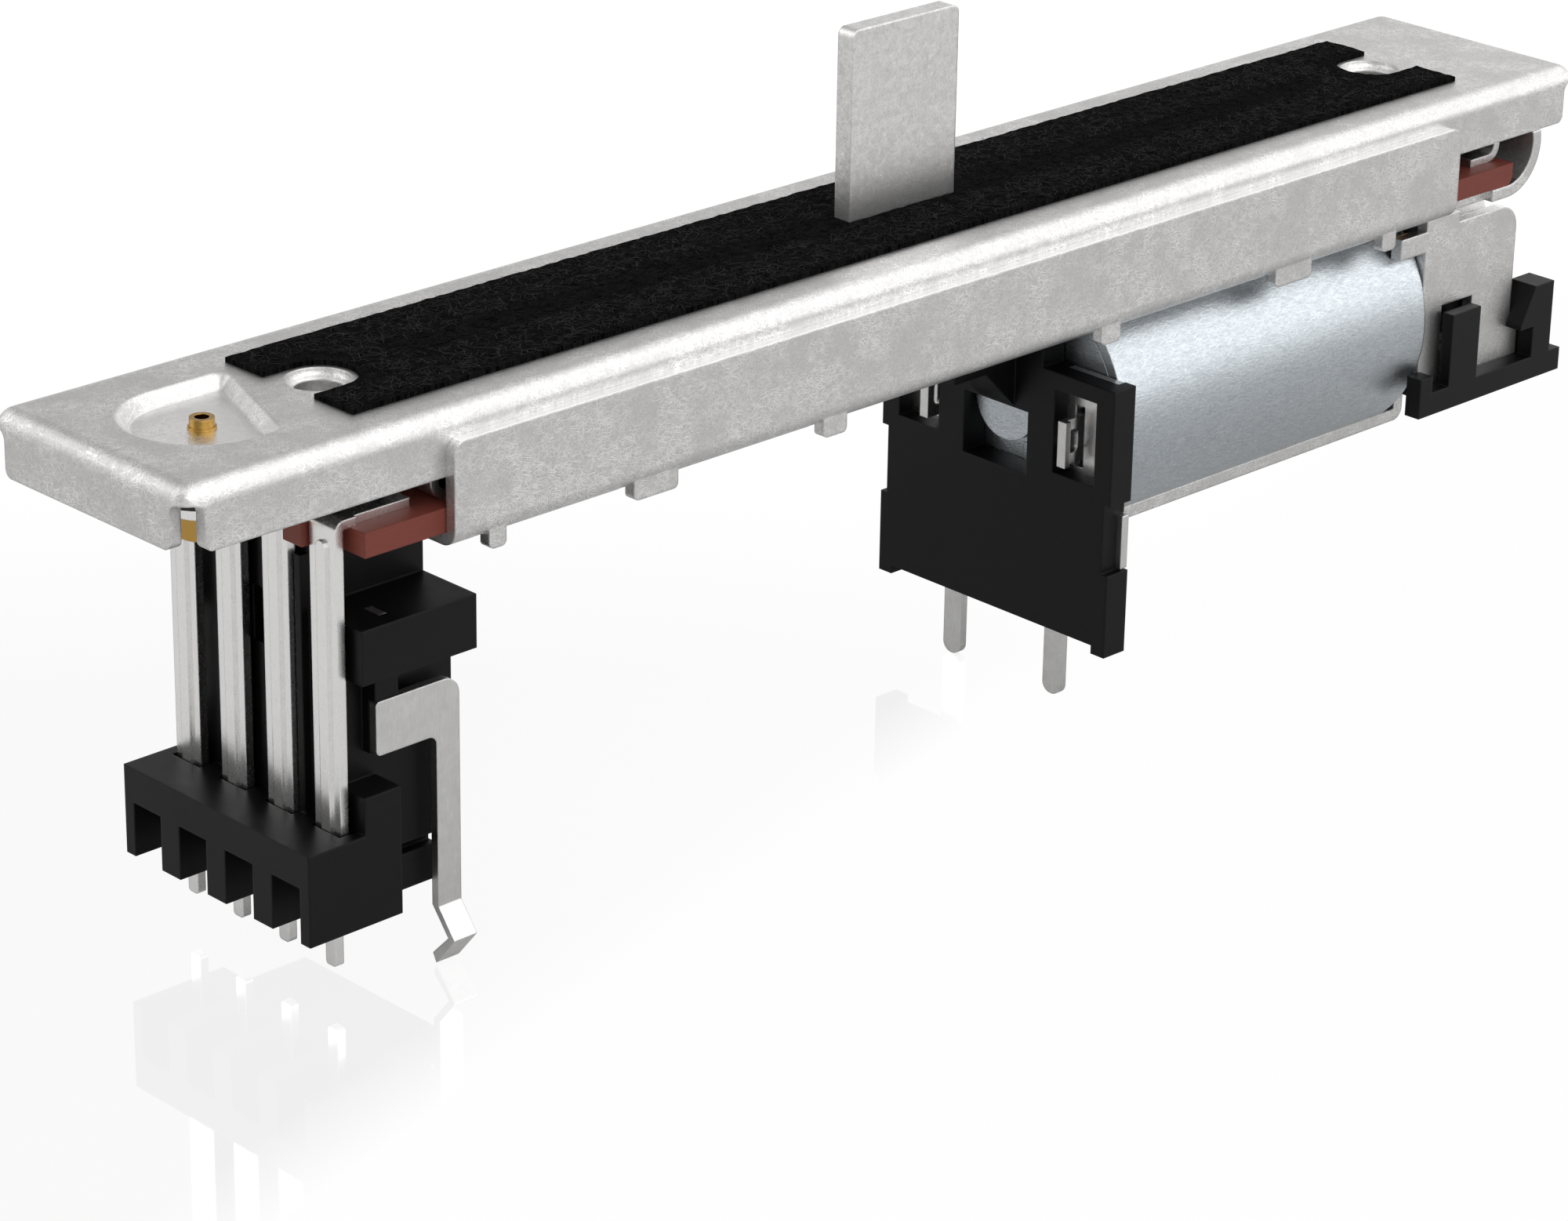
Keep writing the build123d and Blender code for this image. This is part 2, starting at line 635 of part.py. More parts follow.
def bracket_body(web_x, outward):
    """Web with a rolled foot on the board and two ears under the upper channel."""
    inner_x = web_x - outward * BRACKET_SHEET
    foot_x = web_x - outward * BRACKET_FOOT_REACH
    ear_x = web_x + outward * BRACKET_EAR_REACH
    web = end_profile(
        (
            (-BRACKET_HALF_WIDTH, BOARD_TOP + BRACKET_SHEET),
            (BRACKET_HALF_WIDTH, BOARD_TOP + BRACKET_SHEET),
            (BRACKET_HALF_WIDTH, UNDER_SKIN),
            (-BRACKET_HALF_WIDTH, UNDER_SKIN),
        ),
        sorted((web_x, inner_x)),
    )
    ear_y = (-BRACKET_HALF_WIDTH, -BRACKET_EAR_INNER)
    ear = block(sorted((web_x, ear_x)), ear_y, (UNDER_SKIN - BRACKET_SHEET, UNDER_SKIN))
    foot = side_profile(
        (
            (foot_x, BOARD_TOP),
            (web_x, BOARD_TOP, BRACKET_BEND),
            (web_x, BOARD_TOP + 2 * BRACKET_BEND),
            (inner_x, BOARD_TOP + 2 * BRACKET_BEND),
            (inner_x, BOARD_TOP + BRACKET_SHEET, BRACKET_BEND - BRACKET_SHEET),
            (foot_x, BOARD_TOP + BRACKET_SHEET),
        ),
        ear_y,
    )
    web_low = block(
        sorted((web_x, inner_x)),
        ear_y,
        (BOARD_TOP, BOARD_TOP + 2 * BRACKET_BEND),
    )
    body = web - both_sides(web_low) + both_sides(ear) + both_sides(foot)
    rods = lying_bar(ROD_RADIUS + FIT, LEFT_WEB_X, RIGHT_WEB_X, ROD_Y, ROD_Z)
    return body - both_sides(rods)


def make_end_bracket_left():
    """Bracket beside the idler; a tongue below the mounting hole stops the screw."""
    body = bracket_body(LEFT_WEB_X, -1)
    tongue_half = SCREW_STOP_HALF_WIDTH
    relief = block(
        (LEFT_WEB_X, LEFT_WEB_X + BRACKET_SHEET),
        (-BRACKET_EAR_INNER, BRACKET_EAR_INNER),
        (SCREW_STOP_TOP, UNDER_SKIN),
    )
    tongue = block(
        (LEFT_WEB_X - SCREW_STOP_REACH, LEFT_WEB_X + BRACKET_SHEET),
        (-tongue_half, tongue_half),
        (SCREW_STOP_TOP - BRACKET_SHEET, SCREW_STOP_TOP),
    )
    window_y = (-BELT_BACK_RADIUS - BELT_SIDE_GAP, -BELT_FOOT_RADIUS + 2 * BELT_SIDE_GAP)
    window_z = (BELT_BOTTOM - RUNNING, BELT_TOP + RUNNING)
    window = block((LEFT_WEB_X, LEFT_WEB_X + BRACKET_SHEET), window_y, window_z)
    return body - relief + tongue - both_sides(window)


def make_end_bracket_right():
    """Bracket beyond the drive pulley, with one window for pulley and belt."""
    body = bracket_body(RIGHT_WEB_X, 1)
    window_half = PULLEY_FLANGE_RADIUS
    window = block(
        (RIGHT_WEB_X - BRACKET_SHEET, RIGHT_WEB_X),
        (-window_half, window_half),
        (PULLEY_BOTTOM - AIR, PULLEY_TOP + AIR),
    )
    return body - window


def make_lever():
    """Steel blade with rounded upper corners, moulded into the carriage."""
    half = LEVER_WIDTH / 2
    points = (
        (-half, LEVER_ROOT),
        (half, LEVER_ROOT),
        (half, LEVER_TOP, LEVER_CORNER_RADIUS),
        (-half, LEVER_TOP, LEVER_CORNER_RADIUS),
    )
    return side_profile(points, (-LEVER_THICKNESS / 2, LEVER_THICKNESS / 2))


def make_carriage():
    """Moulded slider with two rod bores, a channel for each run of the belt and a lever seat."""
    x = (-CARRIAGE_HALF_LENGTH, CARRIAGE_HALF_LENGTH)
    body = block(x, (-CARRIAGE_HALF_WIDTH, CARRIAGE_HALF_WIDTH), (CARRIAGE_BOTTOM, CARRIAGE_TOP))
    body = fillet(body.edges().filter_by(Axis.Z), CARRIAGE_EDGE_RADIUS)
    body += block(
        (-BOSS_HALF_LENGTH, BOSS_HALF_LENGTH),
        (-BOSS_HALF_WIDTH, BOSS_HALF_WIDTH),
        (CARRIAGE_TOP, BOSS_TOP),
    )
    belt_y = (-BELT_BACK_RADIUS - BELT_SIDE_GAP, -BELT_FOOT_RADIUS + BELT_TOOTH_HEIGHT + BELT_SIDE_GAP)
    body -= both_sides(block(x, belt_y, (CARRIAGE_BOTTOM, BELT_TOP + AIR)))
    body -= both_sides(lying_bar(ROD_RADIUS + RUNNING, x[0], x[1], ROD_Y, ROD_Z))
    seat_half = LEVER_WIDTH / 2 + FIT
    seat_y = LEVER_THICKNESS / 2 + FIT
    body -= block((-seat_half, seat_half), (-seat_y, seat_y), (LEVER_ROOT, BOSS_TOP))
    return body


def make_belt_clamp():
    """Small plate under the carriage that closes the channel of the driven run."""
    y = (
        -CLAMP_OUTER,
        -BELT_FOOT_RADIUS + BELT_TOOTH_HEIGHT + BELT_SIDE_GAP + CLAMP_LAP,
    )
    z = (CARRIAGE_BOTTOM - CLAMP_THICKNESS, CARRIAGE_BOTTOM)
    return block((-CLAMP_HALF_LENGTH, CLAMP_HALF_LENGTH), y, z)


def make_wiper(side):
    """Sprung contact strip: a flat base under the carriage and a sloping arm on the track."""
    contact_z = BOARD_TOP + TRACK_THICKNESS + WIPER_GAP
    arm_start = WIPER_HALF_LENGTH
    arm_end = WIPER_HALF_LENGTH + WIPER_REACH
    toe = arm_end - WIPER_REACH / 4
    points = (
        (-WIPER_HALF_LENGTH, CARRIAGE_BOTTOM),
        (arm_start, CARRIAGE_BOTTOM),
        (toe, contact_z + WIPER_SHEET),
        (arm_end, contact_z + 2 * WIPER_SHEET),
        (arm_end, contact_z + WIPER_SHEET),
        (toe, contact_z),
        (arm_start, CARRIAGE_BOTTOM - WIPER_SHEET),
        (-WIPER_HALF_LENGTH, CARRIAGE_BOTTOM - WIPER_SHEET),
    )
    y = side * TRACK_Y
    return side_profile(points, (y - WIPER_WIDTH / 2, y + WIPER_WIDTH / 2))


def make_drive_belt():
    """Endless belt with teeth on its two straight runs."""
    span = DRIVE_X - IDLER_X
    middle = (DRIVE_X + IDLER_X) / 2
    loop = SlotCenterToCenter(span, 2 * BELT_BACK_RADIUS)
    loop -= SlotCenterToCenter(span, 2 * BELT_FOOT_RADIUS)
    belt = extrude(Plane.XY.offset(BELT_BOTTOM) * Pos(middle, 0) * loop, amount=BELT_WIDTH)
    tooth_y = (-BELT_FOOT_RADIUS, -BELT_FOOT_RADIUS + BELT_TOOTH_HEIGHT)
    run = span - 2 * PITCH_RADIUS
    count = int(run / BELT_PITCH)
    first = middle - (count - 1) * BELT_PITCH / 2
    teeth = []
    for number in range(count):
        place = first + number * BELT_PITCH
        x = (place - BELT_TOOTH_WIDTH / 2, place + BELT_TOOTH_WIDTH / 2)
        teeth.append(block(x, tooth_y, (BELT_BOTTOM, BELT_TOP)))
    row = Compound(teeth)
    return belt.fuse(*row.solids(), *mirror(row, about=Plane.XZ).solids())


def toothed_rim(low, high):
    """The part of a pulley that the belt runs on, with trapezoid teeth."""
    root = PULLEY_TIP_RADIUS - PULLEY_TOOTH_DEPTH
    rim = Circle(root)
    tooth = Polygon(
        (root - AIR, -PULLEY_FOOT_WIDTH / 2),
        (PULLEY_TIP_RADIUS, -PULLEY_TIP_WIDTH / 2),
        (PULLEY_TIP_RADIUS, PULLEY_TIP_WIDTH / 2),
        (root - AIR, PULLEY_FOOT_WIDTH / 2),
        align=None,
    )
    for number in range(PULLEY_TEETH):
        rim += Rot(0, 0, number * 360 / PULLEY_TEETH) * tooth
    return extrude(Plane.XY.offset(low) * rim, amount=high - low)


def make_idler_pulley():
    """Toothed idler with a flange above the belt; it turns on the brass axle."""
    rim_top = BELT_TOP + RUNNING
    pulley = toothed_rim(PULLEY_BOTTOM, rim_top)
    pulley += upright_bar(PULLEY_FLANGE_RADIUS, 0, 0, rim_top, PULLEY_TOP)
    hub_radius = AXLE_RADIUS + 2 * BELT_BACK
    pulley += upright_bar(hub_radius, 0, 0, PULLEY_TOP, RECESS_UNDERSIDE - RUNNING)
    pulley -= upright_bar(AXLE_RADIUS + RUNNING, 0, 0, PULLEY_BOTTOM, 0)
    return Pos(IDLER_X, 0, 0) * pulley


def make_idler_axle():
    """Hollow brass pin, riveted into the recess, with a head that carries the idler."""
    axle = upright_bar(AXLE_RADIUS, IDLER_X, 0, AXLE_HEAD_BOTTOM, AXLE_TOP)
    axle += upright_bar(AXLE_HEAD_RADIUS, IDLER_X, 0, AXLE_HEAD_BOTTOM, AXLE_HEAD_TOP)
    foot_z = (-RECESS_DEPTH, -RECESS_DEPTH + AXLE_FOOT_HEIGHT)
    axle += upright_bar(AXLE_FOOT_RADIUS, IDLER_X, 0, foot_z[0], foot_z[1])
    return axle - upright_bar(AXLE_BORE_RADIUS, IDLER_X, 0, AXLE_HEAD_BOTTOM, AXLE_TOP)


def make_idler_washer():
    """Bright washer between the idler and the head of its axle."""
    high = AXLE_HEAD_TOP + WASHER_THICKNESS
    washer = upright_bar(WASHER_RADIUS, IDLER_X, 0, AXLE_HEAD_TOP, high)
    return washer - upright_bar(AXLE_RADIUS + FIT, IDLER_X, 0, AXLE_HEAD_TOP, high)


def make_drive_pulley():
    """Toothed pulley pressed on the upright shaft, with a flange above the belt."""
    rim_top = BELT_TOP + RUNNING
    pulley = toothed_rim(PULLEY_BOTTOM, rim_top)
    pulley += upright_bar(PULLEY_FLANGE_RADIUS, 0, 0, rim_top, PULLEY_TOP)
    pulley -= upright_bar(DRIVE_SHAFT_RADIUS + FIT, 0, 0, PULLEY_BOTTOM, PULLEY_TOP)
    return Pos(DRIVE_X, 0, 0) * pulley


def make_drive_shaft():
    """Upright shaft from the drive pulley down to the crown wheel."""
    return upright_bar(DRIVE_SHAFT_RADIUS, DRIVE_X, 0, CROWN_ROOT_Z - AIR, PULLEY_TOP)


def make_shaft_bushing():
    """Brass bushing in the lower channel; its flange seats under the floor."""
    top = PULLEY_BOTTOM - AIR
    bottom = CROWN_TOP + AIR
    bush = upright_bar(BUSH_RADIUS, DRIVE_X, 0, bottom, top)
    flange_low = LOWER_UNDERSIDE - BUSH_FLANGE
    bush += upright_bar(BUSH_FLANGE_RADIUS, DRIVE_X, 0, flange_low, LOWER_UNDERSIDE)
    return bush - upright_bar(DRIVE_SHAFT_RADIUS + RUNNING, DRIVE_X, 0, bottom, top)


def make_crown_gear():
    """Crown wheel: a disc with radial rack teeth on its lower face."""
    outer = CROWN_RADIUS + CROWN_FACE / 2
    gear = upright_bar(outer, 0, 0, CROWN_ROOT_Z, CROWN_TOP)
    pitch = math.pi * GEAR_MODULE
    slope = math.tan(math.radians(PRESSURE_ANGLE))
    half_pitch_width = (pitch - BACKLASH) / 4
    depth_above = GEAR_DEDENDUM * GEAR_MODULE
    depth_below = GEAR_ADDENDUM * GEAR_MODULE
    foot = half_pitch_width + slope * depth_above
    tip = half_pitch_width - slope * depth_below
    tip_z = CROWN_PITCH_Z - depth_below
    tooth = end_profile(
        ((-foot, CROWN_ROOT_Z), (-tip, tip_z), (tip, tip_z), (foot, CROWN_ROOT_Z)),
        (outer - CROWN_FACE, outer - FIT),
    )
    tooth_angle = 360 / CROWN_TEETH
    teeth = [Rot(0, 0, (number + 0.5) * tooth_angle) * tooth for number in range(CROWN_TEETH)]
    gear = gear.fuse(*teeth)
    gear += upright_bar(CROWN_HUB_RADIUS, 0, 0, CROWN_ROOT_Z - AIR, CROWN_ROOT_Z)
    gear -= upright_bar(DRIVE_SHAFT_RADIUS + FIT, 0, 0, CROWN_ROOT_Z - AIR, CROWN_TOP)
    return Pos(DRIVE_X, 0, 0) * gear


def involute_tooth():
    """One pinion tooth that points up, drawn from the involute of its base circle."""
    base = PINION_RADIUS * math.cos(math.radians(PRESSURE_ANGLE))
    tip = PINION_RADIUS + GEAR_ADDENDUM * GEAR_MODULE
    root = PINION_RADIUS - GEAR_DEDENDUM * GEAR_MODULE

    def polar_angle(radius):
        roll = math.acos(min(1, base / radius))
        return math.tan(roll) - roll

    half_thickness = (math.pi * GEAR_MODULE - BACKLASH) / (4 * PINION_RADIUS)
    centre_angle = half_thickness + polar_angle(PINION_RADIUS)
    flank = []
    steps = 4
    for step in range(steps + 1):
        radius = base + (tip - base) * step / steps
        angle = centre_angle - polar_angle(radius)
        flank.append((radius * math.sin(angle), radius * math.cos(angle)))
    foot_y = root - GEAR_MODULE / 4
    foot_x = foot_y * math.tan(centre_angle)
    right = [(foot_x, foot_y)] + flank
    left = [(-x, y) for x, y in reversed(right)]
    return Polygon(*right, *left, align=None)


def make_motor_pinion():
    """Spur pinion on the motor shaft, in mesh with the near side of the crown wheel."""
    root = PINION_RADIUS - GEAR_DEDENDUM * GEAR_MODULE
    face = Circle(root)
    tooth = involute_tooth()
    for number in range(PINION_TEETH):
        face += Rot(0, 0, number * 360 / PINION_TEETH) * tooth
    face -= Circle(MOTOR_SHAFT_RADIUS + FIT)
    return along_motor(face, PINION_X - PINION_LENGTH / 2, PINION_X + PINION_LENGTH / 2)


def can_section(wall):
    """The can's section: a circle with an upper and a lower flat, drawn in by a wall."""
    radius = CAN_RADIUS - wall
    return Circle(radius) & Rectangle(2 * CAN_RADIUS, 2 * (CAN_HALF - wall))


def along_motor(face, left, right):
    """A face drawn about the motor's axis, extruded along it."""
    solid = extrude(Plane.YZ.offset(left) * face, amount=right - left, dir=(1, 0, 0))
    return Pos(0, 0, MOTOR_Z) * solid


def make_motor_can():
    """Drawn steel can, open at the left, with a raised pad round the shaft."""
    can = along_motor(can_section(0), CAN_LEFT, CAN_RIGHT)
    can = fillet(can.faces().sort_by(Axis.X)[-1].edges(), CAN_EDGE_RADIUS)
    can += along_motor(Circle(CAN_PAD_RADIUS), CAN_RIGHT, UPRIGHT_LEFT)
    can -= along_motor(can_section(CAN_WALL), CAN_LEFT, CAN_RIGHT - CAN_WALL)
    can -= along_motor(Circle(BEARING_RADIUS + FIT), CAN_RIGHT - CAN_WALL, UPRIGHT_LEFT)
    screw_x = (CAN_RIGHT - CAN_WALL, UPRIGHT_LEFT)
    screw = lying_bar(SCREW_RADIUS + FIT, screw_x[0], screw_x[1], MOTOR_SCREW_Y, MOTOR_Z)
    return can - both_sides(screw)


def make_motor_end_plate():
    """Steel plate that closes the can, with the bearing boss and a slot for each terminal."""
    right = CAN_LEFT + END_PLATE_THICKNESS
    plate = along_motor(can_section(CAN_WALL + FIT), CAN_LEFT, right)
    plate += along_motor(Circle(END_BOSS_RADIUS), END_BOSS_X, CAN_LEFT)
    stamp = Pos(STAMP_Y, -STAMP_DROP) * RectangleRounded(STAMP_WIDTH, STAMP_HEIGHT, STAMP_CORNER)
    plate += along_motor(stamp, CAN_LEFT - STAMP_PROUD, CAN_LEFT)
    plate -= along_motor(Circle(BEARING_RADIUS + FIT), END_BOSS_X + END_PLATE_THICKNESS / 2, right)
    slot_y = (MOTOR_TAB_Y - MOTOR_TAB_THICKNESS / 2 - AIR, MOTOR_TAB_Y + MOTOR_TAB_THICKNESS / 2 + AIR)
    slot_z = (MOTOR_TAB_BOTTOM - AIR, MOTOR_TAB_TOP + AIR)
    return plate - both_sides(block((CAN_LEFT, right), slot_y, slot_z))


def make_bearing(left, right):
    """Sintered bearing for the motor shaft."""
    return along_motor(Circle(BEARING_RADIUS) - Circle(MOTOR_SHAFT_RADIUS + RUNNING / 2), left, right)


def make_motor_magnets():
    """Two curved magnets inside the can, one on each side."""
    ring = Circle(CAN_RADIUS - CAN_WALL - FIT) - Circle(MAGNET_INNER_RADIUS)
    reach = 2 * CAN_RADIUS
    half_height = reach * math.sin(math.radians(MAGNET_HALF_ANGLE))
    width = reach * math.cos(math.radians(MAGNET_HALF_ANGLE))
    sector = Polygon((0, 0), (width, -half_height), (width, half_height), align=None)
    flats = Rectangle(2 * CAN_RADIUS, 2 * (CAN_HALF - CAN_WALL - FIT))
    return both_sides(along_motor(ring & sector & flats, MAGNET_LEFT, MAGNET_RIGHT))


def make_motor_shaft():
    """Shaft from the rear bearing, through the armature, to the pinion."""
    left = END_BOSS_X + END_PLATE_THICKNESS
    return lying_bar(MOTOR_SHAFT_RADIUS, left, PINION_X + PINION_LENGTH / 2, 0, MOTOR_Z)


def core_face():
    """Section of the laminated core: a hub, three necks and three curved shoes."""
    face = Circle(CORE_HUB_RADIUS)
    neck = Pos(0, CORE_RADIUS / 2) * Rectangle(CORE_NECK, CORE_RADIUS - CORE_SHOE)
    rim = Circle(CORE_RADIUS) - Circle(CORE_RADIUS - CORE_SHOE)
    half = math.radians(CORE_SHOE_ANGLE / 2)
    reach = 2 * CORE_RADIUS
    sector = Polygon(
        (0, 0),
        (reach * math.sin(half), reach * math.cos(half)),
        (-reach * math.sin(half), reach * math.cos(half)),
        align=None,
    )
    for number in range(POLES):
        turn = Rot(0, 0, number * 360 / POLES)
        face += turn * neck
        face += turn * (rim & sector)
    return face - Circle(MOTOR_SHAFT_RADIUS + FIT)


def make_armature_core():
    """Stack of stamped laminations with three poles."""
    return along_motor(core_face(), CORE_LEFT, CORE_RIGHT)


def make_armature_windings():
    """Copper coils round the three necks, with their bulges past both ends of the core."""
    coils = []
    outer = math.sqrt((CORE_RADIUS - CORE_SHOE - AIR) ** 2 - CORE_NECK**2)
    inner = CORE_HUB_RADIUS + AIR
    height = outer - inner
    for number in range(POLES):
        turn = Rot(0, 0, number * 360 / POLES)
        coil = Pos(0, (outer + inner) / 2) * Rectangle(2 * CORE_NECK, height)
        space = Pos(0, (outer + inner) / 2) * Rectangle(CORE_NECK + 2 * FIT, height)
        whole = along_motor(turn * coil, CORE_LEFT - WINDING_BULGE, CORE_RIGHT + WINDING_BULGE)
        coils.append(whole - along_motor(turn * space, CORE_LEFT - FIT, CORE_RIGHT + FIT))
    return joined(coils)


def make_commutator():
    """Three copper bars round an insulating sleeve, shown as one ring with slots."""
    right = CORE_LEFT - WINDING_BULGE
    left = right - COMMUTATOR_LENGTH
    ring = Circle(COMMUTATOR_RADIUS) - Circle(MOTOR_SHAFT_RADIUS + FIT)
    for number in range(POLES):
        slot = Pos(0, COMMUTATOR_RADIUS) * Rectangle(AIR, COMMUTATOR_RADIUS / 2)
        ring -= Rot(0, 0, number * 360 / POLES) * slot
    return along_motor(ring, left, right)


def make_brush_holder():
    """Insulating disc behind the end plate that carries brushes and terminals."""
    left = CAN_LEFT + END_PLATE_THICKNESS
    disc = can_section(CAN_WALL + AIR) - Circle(BEARING_RADIUS + AIR)
    holder = along_motor(disc, left, left + BRUSH_HOLDER_THICKNESS)
    slot_y = (MOTOR_TAB_Y - MOTOR_TAB_THICKNESS / 2 - FIT, MOTOR_TAB_Y + MOTOR_TAB_THICKNESS / 2 + FIT)
    slot_z = (MOTOR_TAB_BOTTOM - FIT, MOTOR_TAB_TOP + FIT)
    return holder - both_sides(block((left, left + BRUSH_HOLDER_THICKNESS), slot_y, slot_z))


def make_brushes():
    """Two carbon brushes that press on the commutator from its sides."""
    left = CAN_LEFT + END_PLATE_THICKNESS + BRUSH_HOLDER_THICKNESS
    right = CORE_LEFT - WINDING_BULGE - AIR
    y = (COMMUTATOR_RADIUS + RUNNING, COMMUTATOR_RADIUS + RUNNING + BRUSH_WIDTH)
    z = (MOTOR_Z - BRUSH_WIDTH / 2, MOTOR_Z + BRUSH_WIDTH / 2)
    return both_sides(block((left, right), y, z))


def make_motor_tabs():
    """Motor terminals: two upright tabs with an eye, folded over at the free end."""
    right = CAN_LEFT + END_PLATE_THICKNESS + BRUSH_HOLDER_THICKNESS
    half = MOTOR_TAB_THICKNESS / 2
    y = (MOTOR_TAB_Y - half, MOTOR_TAB_Y + half)
    z = (MOTOR_TAB_BOTTOM, MOTOR_TAB_TOP)
    tab = block((MOTOR_TAB_END_X, right), y, z)
    fold_y = (y[0], y[1] + MOTOR_TAB_THICKNESS)
    tab += block((MOTOR_TAB_END_X, MOTOR_TAB_END_X + MOTOR_TAB_FOLD), fold_y, z)
    eye = Pos(MOTOR_TAB_EYE_X, MOTOR_TAB_Y, (z[0] + z[1]) / 2) * Rot(90, 0, 0)
    tab -= eye * extrude(RectangleRounded(*MOTOR_TAB_EYE, MOTOR_TAB_EYE[0] / 2 - FIT), AIR, both=True)
    return both_sides(tab)


def contact_outline(grow):
    """The contact strip at the back seen along X, grown all round by a clearance."""
    top = PLATE_SHOULDER_Z - FIT + grow
    inner = CONTACT_INNER_Y - grow
    outer = CONTACT_OUTER_Y + grow
    pin_inner = MOTOR_PIN_Y - MOTOR_PIN_WIDTH / 2 - grow
    pin_outer = MOTOR_PIN_Y + MOTOR_PIN_WIDTH / 2 + grow
    step_z = CRADLE_BOTTOM - AIR + grow
    tail_z = EAR_BOTTOM - 2 * MOTOR_PIN_WIDTH - grow
    tip_radius = MOTOR_PIN_WIDTH / 2 - RUNNING
    return (
        (inner, top),
        (outer, top),
        (outer, EAR_TOP + grow),
        (EAR_Y + grow, EAR_TOP + grow),
        (EAR_Y + grow, EAR_BOTTOM - grow),
        (pin_outer, EAR_BOTTOM - grow),
        (pin_outer, tail_z),
        (pin_outer, MOTOR_PIN_TIP, tip_radius),
        (pin_inner, MOTOR_PIN_TIP, tip_radius),
        (pin_inner, step_z),
        (inner, step_z),
    )


def make_motor_contact(side):
    """Stamped strip: a slotted upper plate on the motor terminal, a side ear and a long pin."""
    x = (CONTACT_X, CONTACT_X + CONTACT_THICKNESS)
    strip = end_profile(contact_outline(0), x)
    slot_y = (MOTOR_TAB_Y - MOTOR_TAB_THICKNESS / 2, MOTOR_TAB_Y + MOTOR_TAB_THICKNESS + AIR)
    slot_z = (MOTOR_TAB_BOTTOM - MOTOR_TAB_THICKNESS, MOTOR_TAB_TOP + 2 * MOTOR_TAB_THICKNESS)
    strip -= block(x, slot_y, slot_z)
    if side < 0:
        strip = mirror(strip, about=Plane.XZ)
    return strip


def make_motor_plate():
    """Moulded plate with three windows, an arm under the channel and pockets for the contacts."""
    x = (PLATE_FRONT_X, PLATE_BACK_X)
    half = PLATE_HALF_WIDTH
    foot = half - PLATE_FOOT_WIDTH
    centre = PLATE_CENTRE_HALF_WIDTH
    plate = end_profile(
        (
            (-half, PLATE_BOTTOM - PLATE_FOOT_DROP),
            (-foot, PLATE_BOTTOM - PLATE_FOOT_DROP),
            (-foot, PLATE_BOTTOM),
            (foot, PLATE_BOTTOM),
            (foot, PLATE_BOTTOM - PLATE_FOOT_DROP),
            (half, PLATE_BOTTOM - PLATE_FOOT_DROP),
            (half, PLATE_SHOULDER_Z),
            (centre, PLATE_SHOULDER_Z),
            (centre, LOWER_UNDERSIDE),
            (-centre, LOWER_UNDERSIDE),
            (-centre, PLATE_SHOULDER_Z),
            (-half, PLATE_SHOULDER_Z),
        ),
        x,
    )
    plate += side_profile(
        (
            (ARM_REACH_X, LOWER_UNDERSIDE),
            (ARM_REACH_X, ARM_BOTTOM),
            (x[0] - GUSSET_LEG, ARM_BOTTOM),
            (x[0], ARM_BOTTOM - GUSSET_LEG),
            (x[0], LOWER_UNDERSIDE),
        ),
        (-ARM_HALF_WIDTH, ARM_HALF_WIDTH),
    )
    window_z = (CENTRE_WINDOW_BOTTOM, CENTRE_WINDOW_TOP)
    window_y = (-CENTRE_WINDOW_HALF_WIDTH, CENTRE_WINDOW_HALF_WIDTH)
    plate -= block(x, window_y, window_z)
    side_window_y = (SIDE_WINDOW_INNER_Y, SIDE_WINDOW_OUTER_Y)
    plate -= both_sides(block(x, side_window_y, (SIDE_WINDOW_BOTTOM, SIDE_WINDOW_TOP)))
    recess_y = (half - SIDE_RECESS_DEPTH, half)
    plate -= both_sides(block(x, recess_y, (SIDE_RECESS_BOTTOM, SIDE_RECESS_TOP)))

    pocket_x = (CONTACT_X - FIT, x[1])
    plate -= both_sides(end_profile(contact_outline(FIT), pocket_x))
    upright_left = CAN_LEFT - MOUNT_SHEET - FIT
    upright_y = REAR_UPRIGHT_HALF_WIDTH + FIT
    upright_z = (CRADLE_BOTTOM - FIT, REAR_UPRIGHT_TOP + FIT)
    plate -= block((upright_left, x[1]), (-upright_y, upright_y), upright_z)
    boss_x = (END_BOSS_X - FIT, x[1])
    plate -= along_motor(Circle(END_BOSS_RADIUS + FIT), boss_x[0], boss_x[1])
    return plate


def cheek():
    """One side plate of the motor bracket, on the +Y side."""
    points = (
        (CHEEK_LEFT, CHEEK_BOTTOM),
        (CHEEK_FOOT_END, CHEEK_BOTTOM),
        (CHEEK_FOOT_END, CHEEK_FOOT_TOP),
        (CHEEK_RIGHT, CHEEK_FOOT_TOP, (CHEEK_FOOT_END - CHEEK_RIGHT) / 2),
        (CHEEK_RIGHT, CHEEK_TOP, CHEEK_CORNER_RADIUS),
        (NECK_RIGHT_X, CHEEK_TOP),
        (NECK_RIGHT_X, LOWER_UNDERSIDE),
        (CHEEK_LEFT, LOWER_UNDERSIDE),
        (CHEEK_LEFT, CHEEK_TOP),
        (SHOULDER_LEFT_X, CHEEK_TOP),
        (SHOULDER_LEFT_X, SHOULDER_BOTTOM),
        (CHEEK_LEFT, SHOULDER_BOTTOM),
    )
    plate = side_profile(points, (CHEEK_INNER, CHEEK_Y))
    slot_x = (CATCH_SLOT_LEFT, CATCH_SLOT_RIGHT)
    slot_z = (CATCH_SLOT_BOTTOM, CATCH_SLOT_TOP)
    plate -= block(slot_x, (CHEEK_INNER, CHEEK_Y), slot_z)
    flange_y = (CHEEK_INNER - NECK_FLANGE_REACH, CHEEK_INNER)
    flange_z = (LOWER_UNDERSIDE - MOUNT_SHEET, LOWER_UNDERSIDE)
    return plate + block((UPRIGHT_X, NECK_RIGHT_X), flange_y, flange_z)


